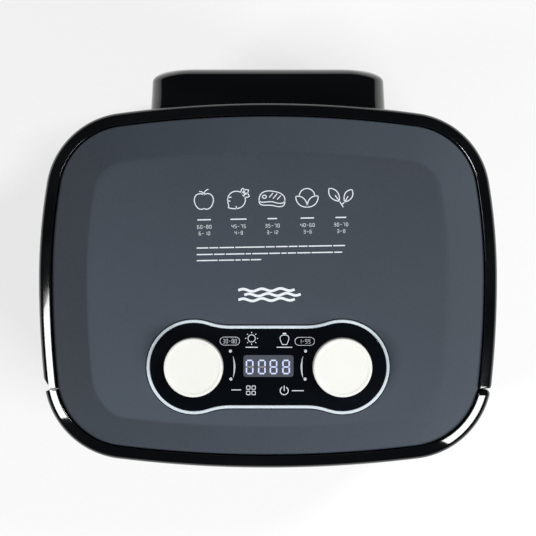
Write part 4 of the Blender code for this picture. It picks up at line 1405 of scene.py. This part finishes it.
# --------------------------------------------------------------------------- print and display
SEGMENTS = {"0": "abcdef", "1": "bc", "2": "abdeg", "3": "abcdg", "4": "bcfg", "5": "acdfg", "6": "acdefg",
            "7": "abc", "8": "abcdefg", "9": "abcdfg", "-": "g"}
SEGMENT_ENDS = {"a": ((0, 2), (1, 2)), "b": ((1, 2), (1, 1)), "c": ((1, 1), (1, 0)), "d": ((0, 0), (1, 0)),
                "e": ((0, 1), (0, 0)), "f": ((0, 2), (0, 1)), "g": ((0, 1), (1, 1))}


@dataclass
class Artwork:
    """Line drawings laid flat on a surface.

    Attributes:
        name: The piece's name.
        finish: The ink.
        height: Height of the surface.
        line: Width of a line.
        thickness: How thick the ink lies.
        turn: Rotation of the whole print about the vertical, in degrees.
    """

    name: str
    finish: Finish
    height: float
    line: float = 0.00045
    thickness: float = 0.00008
    turn: float = 0.0
    grids: list[Grid] = field(default_factory=list)

    def stroke(self, path: Array, closed: bool = False, width: float | Array | None = None) -> None:
        """Draw one line.

        Args:
            path: Points in metres, seen from above.
            closed: The line joins up.
            width: Its width, if not the usual one: one value, or one for each point.
        """
        angle = math.radians(self.turn)
        spin = np.array([[math.cos(angle), math.sin(angle)], [-math.sin(angle), math.cos(angle)]])
        flat = np.asarray(path, float) @ spin
        points = raised(flat, self.height + 0.00001)
        root = math.sqrt(2.0)
        wide = np.asarray(self.line if width is None else width) * root
        self.grids.append(tube(points, wide, self.thickness * root, 4, closed))

    def closed(self, path: Array, count: int = 40) -> None:
        """Draw a closed line of evenly spread points."""
        self.stroke(even(path, count), True)

    def bars(self, start: float, end: float, y: float, words: Sequence[float], width: float) -> None:
        """Draw a line of plain bars that stands for words.

        Args:
            start: Left end.
            end: Right end.
            y: Height on the page.
            words: Share of the line that each bar takes, before gaps.
            width: Height of the bars.
        """
        gap = 0.9 * MM
        room = (end - start) - gap * (len(words) - 1)
        x = start
        for word in words:
            reach = room * word / sum(words)
            self.stroke(np.array([(x, y), (x + reach, y)]), width=width)
            x += reach + gap

    def numerals(self, text: str, centre: Sequence[float], size: tuple[float, float], width: float) -> None:
        """Draw numbers in single strokes.

        Args:
            text: Digits and dashes.
            centre: Middle of the number.
            size: Width and height of a digit.
            width: Width of the strokes.
        """
        pitch = size[0] * 1.75
        left = centre[0] - (len(text) - 1) * pitch / 2 - size[0] / 2
        for number, digit in enumerate(text):
            corner = np.array((left + number * pitch, centre[1] - size[1] / 2))
            for key in SEGMENTS[digit]:
                ends = np.array(SEGMENT_ENDS[key], float) * (size[0], size[1] / 2)
                self.stroke(corner + ends, width=width)

    def leaf(self, base: Sequence[float], tip: Sequence[float], bulge: float, vein: bool = False) -> None:
        """Draw a pointed leaf: two curves from base to tip, and a vein if wanted."""
        base, tip = np.asarray(base, float), np.asarray(tip, float)
        along = tip - base
        side = np.array((-along[1], along[0])) * bulge
        left = bezier([base, base + 0.35 * along + side, base + 0.75 * along + side, tip], 14)
        right = bezier([tip, base + 0.75 * along - side, base + 0.35 * along - side, base], 14)
        self.stroke(np.concatenate([left, right[1:-1]]), True)
        if vein:
            self.stroke(np.array([base, base + 0.72 * along]))

    def build(self, slot: str, body: Body = Body.CABINET) -> None:
        """Make the piece."""
        skin = Skin(self.name, self.finish, body)
        for grid in self.grids:
            skin.add(grid)
        skin.finish_piece(slot)


@dataclass
class CoverPrint:
    """The guide printed on the raised field: five foods, their ranges, a note and an airflow mark."""

    height: float
    centres: tuple[float, ...] = (-0.0470, -0.0214, 0.0038, 0.0300, 0.0550)
    icon_y: float = 0.0505

    def place(self, points: Array, x: float) -> Array:
        """Bring millimetres about an icon's middle onto the cover."""
        return np.asarray(points, float) * MM + (x, self.icon_y)

    def fruit(self, art: Artwork, x: float) -> None:
        """An apple: two mirrored curves, a stalk and a small leaf."""
        half = spline([(0, 3.6), (-2.2, 5.4), (-7.6, 4.8), (-7.1, -1.0),
                       (-6.4, -5.8), (-3.0, -8.4), (0, -6.6)])
        art.closed(self.place(mirrored(half), x), 56)
        for tip in ((-3.4, 6.2), (3.6, 7.6)):
            art.stroke(self.place(bezier([(0, 3.4), (0.1, 5.2), (tip[0] * 0.4, tip[1]), tip], 8), x))

    def root(self, art: Artwork, x: float) -> None:
        """A root vegetable: a round that runs out to a tip, three leaves and three creases."""
        body = spline([(-7.6, -6.2), (-6.2, -5.0), (-8.2, -3.2), (-7.8, 0.2),
                       (-7.2, 4.8), (-3.0, 6.6), (0.6, 5.6), (4.6, 4.4), (6.2, 0.6), (5.0, -2.8),
                       (3.2, -7.4), (-2.8, -8.0), (-7.6, -6.2)])
        art.closed(self.place(body[:-1], x), 60)
        for tip in ((3.8, 8.0), (7.8, 6.6), (8.4, 2.0)):
            base, end = self.place([(3.2, 3.6), tip], x)
            art.leaf(base, end, 0.38)
        creases = (((-7.6, 1.2), (-5.0, 1.5)), ((-7.9, -1.4), (-5.8, -1.3)), ((-1.4, -7.2), (-1.6, -5.2)))
        for crease in creases:
            art.stroke(self.place(crease, x))

    def meat(self, art: Artwork, x: float) -> None:
        """A steak: a bean-shaped face, the thick edge below it, a bone and three streaks."""
        face = spline([(-9.6, -0.8), (-9.4, 4.4), (-5.4, 6.2), (-0.6, 5.6),
                       (5.6, 4.8), (9.8, 3.0), (9.7, -1.4), (9.2, -4.8), (4.6, -3.8), (1.6, -2.8),
                       (-2.4, -1.2), (-9.2, -4.6), (-9.6, -0.8)])
        art.closed(self.place(face[:-1], x), 64)
        edge = spline([(-9.6, -1.2), (-10.0, -6.4), (-4.4, -4.4), (0.6, -5.2),
                       (5.0, -6.6), (9.8, -7.4), (9.7, -1.8)])
        art.stroke(self.place(edge, x))
        art.closed(self.place(ellipse((-5.6, 1.4), (1.5, 1.2), 0, 360, 20)[:-1], x), 20)
        for streak in (((-2.0, 0.8), (0.8, 4.0)), ((0.8, 0.0), (3.9, 3.4)), ((3.9, -0.8), (6.6, 2.0))):
            art.stroke(self.place(streak, x))

    def flower(self, art: Artwork, x: float) -> None:
        """A round bud behind two broad petals that meet at the foot."""
        for side in ((1, 1), (-1, 1)):
            bowl = bezier([(-8.4, 1.2), (-8.2, -4.4), (-4.6, -6.9), (0, -6.9)], 16) * side
            petal = bezier([(-8.4, 1.2), (-4.0, 2.0), (0.0, -0.8), (0.0, -6.9)], 16) * side
            art.stroke(self.place(bowl, x))
            art.stroke(self.place(petal, x))
        art.stroke(self.place(ellipse((0.0, 1.2), (5.8, 5.8), 2, 178, 26), x))

    def herbs(self, art: Artwork, x: float) -> None:
        """Two leaves on one stalk."""
        for base, tip, bulge in (((-0.9, -3.0), (-8.4, 6.8), 0.34), ((3.0, -3.6), (8.6, 5.6), 0.36)):
            start, end = self.place([base, tip], x)
            art.leaf(start, end, bulge)
        art.stroke(self.place(bezier([(-4.0, 1.6), (-1.4, -2.2), (0.6, -5.0), (1.9, -7.4)], 12), x))
        art.stroke(self.place(bezier([(5.6, 0.8), (4.0, -2.0), (3.0, -4.4), (0.8, -5.2)], 10), x))

    def airflow(self, art: Artwork) -> None:
        """Three long heavy waves, one over another: moving air."""
        along = np.linspace(0.0, 1.0, 60)
        for step, (start, reach) in enumerate(((-0.0225, 0.0420), (-0.0180, 0.0420), (-0.0225, 0.0420))):
            y = -0.0176 - 0.0036 * step + 0.0009 * np.sin(2 * math.pi * 3 * along)
            art.stroke(np.column_stack([start + reach * along, y]), width=0.0019)

    def build(self) -> None:
        """Draw the whole guide."""
        art = Artwork("cover_print", COVER_PRINT, self.height, 0.00070, turn=1.0)
        for draw, x in zip((self.fruit, self.root, self.meat, self.flower, self.herbs), self.centres):
            draw(art, x)
        ranges = (("60-80", "6-10"), ("45-75", "4-8"), ("35-70", "3-12"), ("40-60", "3-6"), ("30-70", "3-8"))
        names = ((1.0,), (1.2,), (0.7,), (1.0,), (0.8,))
        for x, (heat, hours), name in zip(self.centres, ranges, names):
            art.bars(x - name[0] * 0.0050, x + name[0] * 0.0050, 0.0355, (1.0,), 0.0009)
            art.numerals(heat, (x, 0.0302), (0.00130, 0.0024), 0.00028)
            art.numerals(hours, (x, 0.0253), (0.00130, 0.0024), 0.00028)
        lines = ((0.0577, 0.0145, (4, 3, 5, 10, 3, 4, 3, 3, 8, 4)),
                 (0.0555, 0.0096, (6, 4, 7, 2, 6, 4, 2, 3, 5, 8, 3)), (-0.005, 0.0051, (8, 6, 2, 3, 4)))
        for end, y, words in lines:
            art.bars(-0.0530, end, y, words, 0.00085)
        self.airflow(art)
        art.build("silver_trim")


@dataclass
class LensPrint:
    """Symbols round the display: ranges, sun, jar, touch keys and arcs that point to the knobs."""

    panel: PanelOutline
    height: float

    def build(self) -> None:
        """Draw every symbol."""
        art = Artwork("lens_print", PANEL_PRINT, self.height, 0.00050)
        for x, y, text in ((-0.0285, -0.0558, "30-80"), (0.0274, -0.0560, "1-99")):
            art.stroke(even(rounded_rectangle((x, y), (0.0073, 0.0030), [0.0030] * 4, 8), 56), True, 0.00038)
            art.numerals(text, (x, y), (0.00125, 0.0030), 0.00028)
        self.sun(art, (-0.0122, -0.0538))
        self.jar(art, (0.0123, -0.0542))
        for x, y in ((-0.0280, -0.0633), (0.0280, -0.0633), (-0.0277, -0.0841), (0.0277, -0.0841)):
            art.stroke(ellipse((x, y), (0.00062, 0.00062), 0, 360, 19)[:-1], True, 0.0011)
        self.arcs(art)
        self.keys(art)
        for x, y, reach in ((-0.0122, -0.0604, 0.0045), (0.0123, -0.0604, 0.0058), (-0.0237, -0.0922, 0.0036),
                            (0.0222, -0.0928, 0.0044)):
            art.bars(x - reach, x + reach, y, (1.0,), 0.0006)
        art.build("silver_trim")

    @staticmethod
    def sun(art: Artwork, centre: Sequence[float]) -> None:
        """A small circle with eight rays."""
        art.closed(ellipse(centre, (0.0027, 0.0027), 0, 360, 28)[:-1], 28)
        for turn in np.radians(np.arange(8) * 45.0):
            way = np.array((math.cos(turn), math.sin(turn)))
            art.stroke(np.asarray(centre) + way * np.array([[0.0039], [0.0048]]))

    @staticmethod
    def jar(art: Artwork, centre: Sequence[float]) -> None:
        """A jar that narrows to its foot, with a lid."""
        half = np.concatenate([[(0.0, -4.2), (1.7, -4.2)],
                               bezier([(1.7, -4.2), (2.2, -2.6), (4.4, 0.4), (2.6, 2.2)], 12),
                               [(1.3, 2.9), (0.0, 2.9)]])
        art.closed(mirrored(half) * MM + centre, 60)
        art.stroke(np.array([(-1.3, 4.0), (1.3, 4.0)]) * MM + centre, width=0.0010)

    def arcs(self, art: Artwork) -> None:
        """An arc round each knob on the display's side, that swells to its middle."""
        for side in (-1, 1):
            centre = (side * self.panel.knob_x, self.panel.knob_y)
            middle = 0.0 if side < 0 else 180.0
            width = 0.0002 + 0.0010 * np.sin(np.linspace(0.0, math.pi, 25))
            art.stroke(ellipse(centre, (0.0303, 0.0303), middle - 15.0, middle + 15.0, 25), width=width)

    @staticmethod
    def keys(art: Artwork) -> None:
        """Four small squares for the mode key, and a broken ring with a bar for the power key."""
        for x in (-1, 1):
            for y in (-1, 1):
                spot = (-0.0127 + x * 0.0020, -0.0925 + y * 0.0020)
                art.closed(rounded_rectangle(spot, (0.0013, 0.0013), [0.0004] * 4, 4), 20)
        art.stroke(ellipse((0.0121, -0.0928), (0.0030, 0.0030), 120, 420, 40), width=0.00060)
        art.stroke(np.array([(0.0121, -0.0930), (0.0121, -0.0890)]), width=0.00060)


@dataclass
class Display:
    """The lit window and its four seven-segment digits."""

    height: float
    x_range: tuple[float, float] = (-0.0183, 0.0190)
    y_range: tuple[float, float] = (-0.0825, -0.0663)
    centres: tuple[float, ...] = (-0.0137, -0.0046, 0.0041, 0.0135)
    digit: tuple[float, float] = (0.0047, 0.0098)
    centre_y: float = -0.0751

    def build(self) -> None:
        """Make the window and the lit and resting segments."""
        middle = (sum(self.x_range) / 2, sum(self.y_range) / 2)
        half = ((self.x_range[1] - self.x_range[0]) / 2, (self.y_range[1] - self.y_range[0]) / 2)
        loop = even(rounded_rectangle(middle, half, [0.0018] * 4), 80)
        window = Skin("display_window", DISPLAY_BACK, Body.CABINET)
        window.add(upright(loop, self.height - 0.0002, self.height + 0.00005))
        window.finish_piece("display_glass")
        lit = Artwork("display_digits", DISPLAY_LIT, self.height + 0.00006)
        dim = Artwork("display_digits_resting", DISPLAY_DIM, self.height + 0.00006)
        for x, shown in zip(self.centres, "0088"):
            for key, ends in SEGMENT_ENDS.items():
                art = lit if key in SEGMENTS[shown] else dim
                self.segment(art, x, ends)
        lit.build("display_glass")
        dim.build("display_glass")

    def segment(self, art: Artwork, x: float, ends: tuple[tuple[int, int], tuple[int, int]]) -> None:
        """One segment: a short bar pulled in from both ends."""
        width, height = self.digit
        corner = np.array((x - width / 2, self.centre_y - height / 2))
        path = corner + np.array(ends, float) * (width, height / 2)
        path = path.mean(axis=0) + (path - path.mean(axis=0)) * 0.78
        art.stroke(path, width=0.00105)


# --------------------------------------------------------------------------- trays and inside
@dataclass
class WireTray:
    """A tray of polished wire: a frame bar, close cross wires and a few stiffeners under them.

    Attributes:
        node: The tray's node in the frame.
        body: The body that it slides on.
        wires: Number of cross wires.
        bar: Thickness of the frame bar.
        wire: Thickness of the cross wires.
        margin: Gap between the tray's side and the first cross wire.
    """

    node: str
    body: str
    wires: int = 34
    bar: float = 0.0036
    wire: float = 0.0016
    margin: float = 0.009

    def build(self) -> None:
        """Make the tray inside its node's box."""
        low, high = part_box(self.node)
        middle, half = (low + high) / 2, (high - low) / 2
        z, inset = low.z + self.bar / 2, self.bar / 2
        radii = [TRAY_REAR_CORNER - inset] * 2 + [TRAY_FRONT_CORNER - inset] * 2
        loop = even(rounded_rectangle(middle[:2], (half.x - inset, half.y - inset), radii, 10), 150)
        tray = Skin(f"{self.node}_wires", TRAY_WIRE, self.body)
        tray.add(tube(raised(loop, z), self.bar, self.bar, 10, True))
        for x in np.linspace(-half.x + self.margin, half.x - self.margin, self.wires):
            corner = max(0.0, abs(x) - (half.x - TRAY_FRONT_CORNER))
            front = low.y + TRAY_FRONT_CORNER - math.sqrt(TRAY_FRONT_CORNER ** 2 - corner ** 2) + inset
            ends = np.linspace(front, high.y - inset, 3)
            path = np.column_stack([np.full(3, x), ends, np.full(3, high.z - self.wire / 2)])
            tray.add(tube(path, self.wire, self.wire, 8))
        for y in np.linspace(low.y + TRAY_FRONT_CORNER, high.y - 0.035, 4):
            path = np.array([(x, y, z - 0.0007) for x in (-half.x + inset, 0.0, half.x - inset)])
            tray.add(tube(path, self.wire, self.wire, 8))
        tray.finish_piece("tray_wire", [self.node], sharp=60.0)


@dataclass
class DripTray:
    """The pressed tray at the bottom, with a rolled edge."""

    node: str = "drip_tray"

    def build(self) -> None:
        """Nested rings from the middle of the underside, over the rolled edge, to the middle of the floor."""
        low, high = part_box(self.node)
        middle, half = (low + high) / 2, (high - low) / 2
        section = rounded_profile([(0.060, low.z), (0.0012, low.z), (0.0006, high.z - 0.0020),
                                   (0.0, high.z - 0.0010), (0.0006, high.z), (0.0016, high.z - 0.0006),
                                   (0.0021, low.z + 0.0009), (0.060, low.z + 0.0009)],
                                  [0.0, 0.0018, 0.0004, 0.0004, 0.0004, 0.0004, 0.0018], 5)
        rings = []
        for inset, z in section:
            radii = [max(r - inset, 0.002) for r in [TRAY_REAR_CORNER] * 2 + [TRAY_FRONT_CORNER] * 2]
            loop = rounded_rectangle(middle[:2], (half.x - inset, half.y - inset), radii, 12)
            rings.append(raised(loop, z))
        tray = Skin("drip_tray_pressing", SHEET_STEEL, Body.DRIP_TRAY)
        tray.add(Grid(np.stack(rings), cap_rows=True))
        tray.finish_piece("sheet_steel", [self.node])


@dataclass
class RubberFoot:
    """A turned rubber foot with a ringed sole."""

    node: str

    def build(self) -> None:
        """Spin the foot's profile."""
        low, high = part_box(self.node)
        radius = (high.x - low.x) / 2
        profile = rounded_profile([(0.0, high.z), (radius - 0.0010, high.z), (radius, low.z + 0.0016),
                                   (radius - 0.0012, low.z), (radius * 0.72, low.z),
                                   (radius * 0.66, low.z + 0.0009), (radius * 0.44, low.z + 0.0009),
                                   (radius * 0.38, low.z), (0.0, low.z)],
                                  [0.0, 0.0004, 0.0006, 0.0005, 0.0003, 0.0003, 0.0003, 0.0003], 4)
        foot = Skin(f"{self.node}_pad", RUBBER, Body.CABINET).add(turned(profile, (low + high) / 2, 64))
        foot.finish_piece("rubber", [self.node], sharp=50.0)


@dataclass(frozen=True)
class CarriedOver:
    """Finishes for the nodes that keep their own shape."""

    finishes: tuple[tuple[Finish, tuple[str, ...]], ...] = (
        (BLACK_MATT, ("base_pan", "rear_vent_grille", "sounder", "hinge_lug_lower", "hinge_lug_upper")),
        (INNER_GREY, ("chamber_floor", "chamber_ceiling", "side_rack_left", "side_rack_right")),
        (SHEET_STEEL, ("rear_baffle", "heat_shield", "motor_bracket", "motor_body", "temperature_encoder",
                       "timer_encoder", "heater_clip_left", "heater_clip_right", "mode_touch_spring",
                       "power_touch_spring", "motor_shaft", "temperature_shaft", "timer_shaft",
                       "temperature_probe", "hinge_pin_lower", "hinge_pin_upper")),
        (HEATER_STEEL, ("heater_element",)),
        (FAN_SHEET, ("fan_impeller",)),
        (TURNED_BRASS, ("motor_bearing", "thermal_cutout")),
        (PLATED_MAGNET, ("catch_magnet", "catch_plate")),
        (BOARD, ("control_board", "power_board")),
        (RUBBER, ("cord_gland",)),
        (PANEL_BLACK, ("display_module",)),
    )

    def dress(self, nodes: dict[str, bpy.types.Object]) -> None:
        """Give every listed node its finish."""
        for finish, names in self.finishes:
            for name in names:
                self.assign(nodes[name], finish.material())
            LOG.info("%s: %d nodes", finish.name, len(names))

    @staticmethod
    def assign(node: bpy.types.Object, material: bpy.types.Material) -> None:
        """Put the material into each of the node's slots."""
        if not node.material_slots:
            node.data.materials.append(material)
        for slot in node.material_slots:
            slot.material = material


# --------------------------------------------------------------------------- studio
@dataclass(frozen=True)
class SoftBox:
    """A rectangular light aimed at the object.

    Attributes:
        name: Its name.
        azimuth: Direction that it stands in, degrees anticlockwise from the user's right.
        elevation: Height above the horizon, in degrees.
        size: Width and height.
        radiance: Brightness of its face.
        distance: How far away it stands.
    """

    name: str
    azimuth: float
    elevation: float
    size: tuple[float, float]
    radiance: float
    distance: float = 1.7

    def build(self, target: Vector) -> None:
        """Place the light; its power is radiance times pi times area."""
        light = bpy.data.lights.new(self.name, "AREA")
        light.shape = "RECTANGLE"
        light.size, light.size_y = self.size
        light.energy = self.radiance * math.pi * self.size[0] * self.size[1]
        turn, lift = math.radians(self.azimuth), math.radians(self.elevation)
        way = Vector((math.cos(lift) * math.cos(turn), math.cos(lift) * math.sin(turn), math.sin(lift)))
        made = bpy.data.objects.new(self.name, light)
        made.location = target + way * self.distance
        made.rotation_euler = way.to_track_quat("Z", "Y").to_euler()
        bpy.context.scene.collection.objects.link(made)


@dataclass
class Studio:
    """Camera straight above, pale floor, dim surroundings and soft boxes at the sides.

    Attributes:
        rim_height: Height of the plane that the field of view is measured on.
        view_width: Width of that plane in view.
        distance: Camera's height above it.
        centre_y: Where the picture's middle lies.
        boxes: The lights.
    """

    rim_height: float
    view_width: float = 0.4003
    distance: float = 1.5
    centre_y: float = -0.0013
    boxes: tuple[SoftBox, ...] = (
        SoftBox("left_box", 199.0, 35.5, (0.78, 0.42), 18.0),
        SoftBox("right_front_box", -36.0, 35.5, (1.04, 0.42), 17.0),
        SoftBox("high_right_box", 30.0, 60.0, (0.26, 0.26), 62.0),
    )

    def build(self) -> None:
        """Set up the whole studio."""
        scene = bpy.context.scene
        camera = bpy.data.cameras.new("overhead")
        camera.sensor_width = 36.0
        camera.lens = camera.sensor_width * self.distance / self.view_width
        made = bpy.data.objects.new("overhead", camera)
        made.location = (0.0, self.centre_y, self.rim_height + self.distance)
        scene.collection.objects.link(made)
        scene.camera = made
        scene.view_settings.view_transform = "Standard"
        world = bpy.data.worlds.new("surroundings")
        world.use_nodes = True
        background = world.node_tree.nodes["Background"]
        background.inputs["Color"].default_value = (0.92, 0.96, 1.0, 1.0)
        background.inputs["Strength"].default_value = 0.035
        scene.world = world
        self.build_floor()
        for box in self.boxes:
            box.build(Vector((0.0, 0.0, self.rim_height)))

    @staticmethod
    def build_floor() -> None:
        """A pale sheet far wider than the object, flat for its length."""
        across = np.linspace(-14.0, 14.0, 29)
        x, y = np.meshgrid(across, across, indexing="ij")
        grid = Grid(np.stack([x, y, np.zeros_like(x) - 0.0002], axis=2), wrap_columns=False)
        paper = StudioPaper("studio_paper")
        skin = Skin("studio_floor", paper, Body.CABINET)
        skin.vertices.append(grid.points.reshape(-1, 3))
        skin.faces += list(grid.quads())
        floor = skin.mesh_object()
        floor.data.materials.append(paper.material())


def main() -> None:
    """Build every sub-assembly, dress the frame's own nodes and light the studio."""
    logging.basicConfig(level=logging.INFO, format="%(name)s: %(message)s")
    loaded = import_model()
    places = Frame.read()
    knob_low, knob_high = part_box("timer_knob")
    panel = PanelOutline((knob_low.x + knob_high.x) / 2, (knob_low.y + knob_high.y) / 2)
    lens_top, cover_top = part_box("control_lens")[1].z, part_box("top_cover")[1].z
    BodyShell(places).build()
    Door(places).build()
    RearHousing(places).build()
    TopCover(places, panel).build()
    ControlPanel(panel).build()
    CoverPrint(cover_top).build()
    LensPrint(panel, lens_top).build()
    Display(lens_top).build()
    for number in range(1, 6):
        WireTray(f"tray_{number}", f"tray_{number}_body").build()
    DripTray().build()
    for row in ("front", "rear"):
        for side in ("left", "right"):
            RubberFoot(f"foot_{row}_{side}").build()
    CarriedOver().dress(loaded["nodes"])
    Studio(places.rim.top).build()


if __name__ == "__main__":
    main()
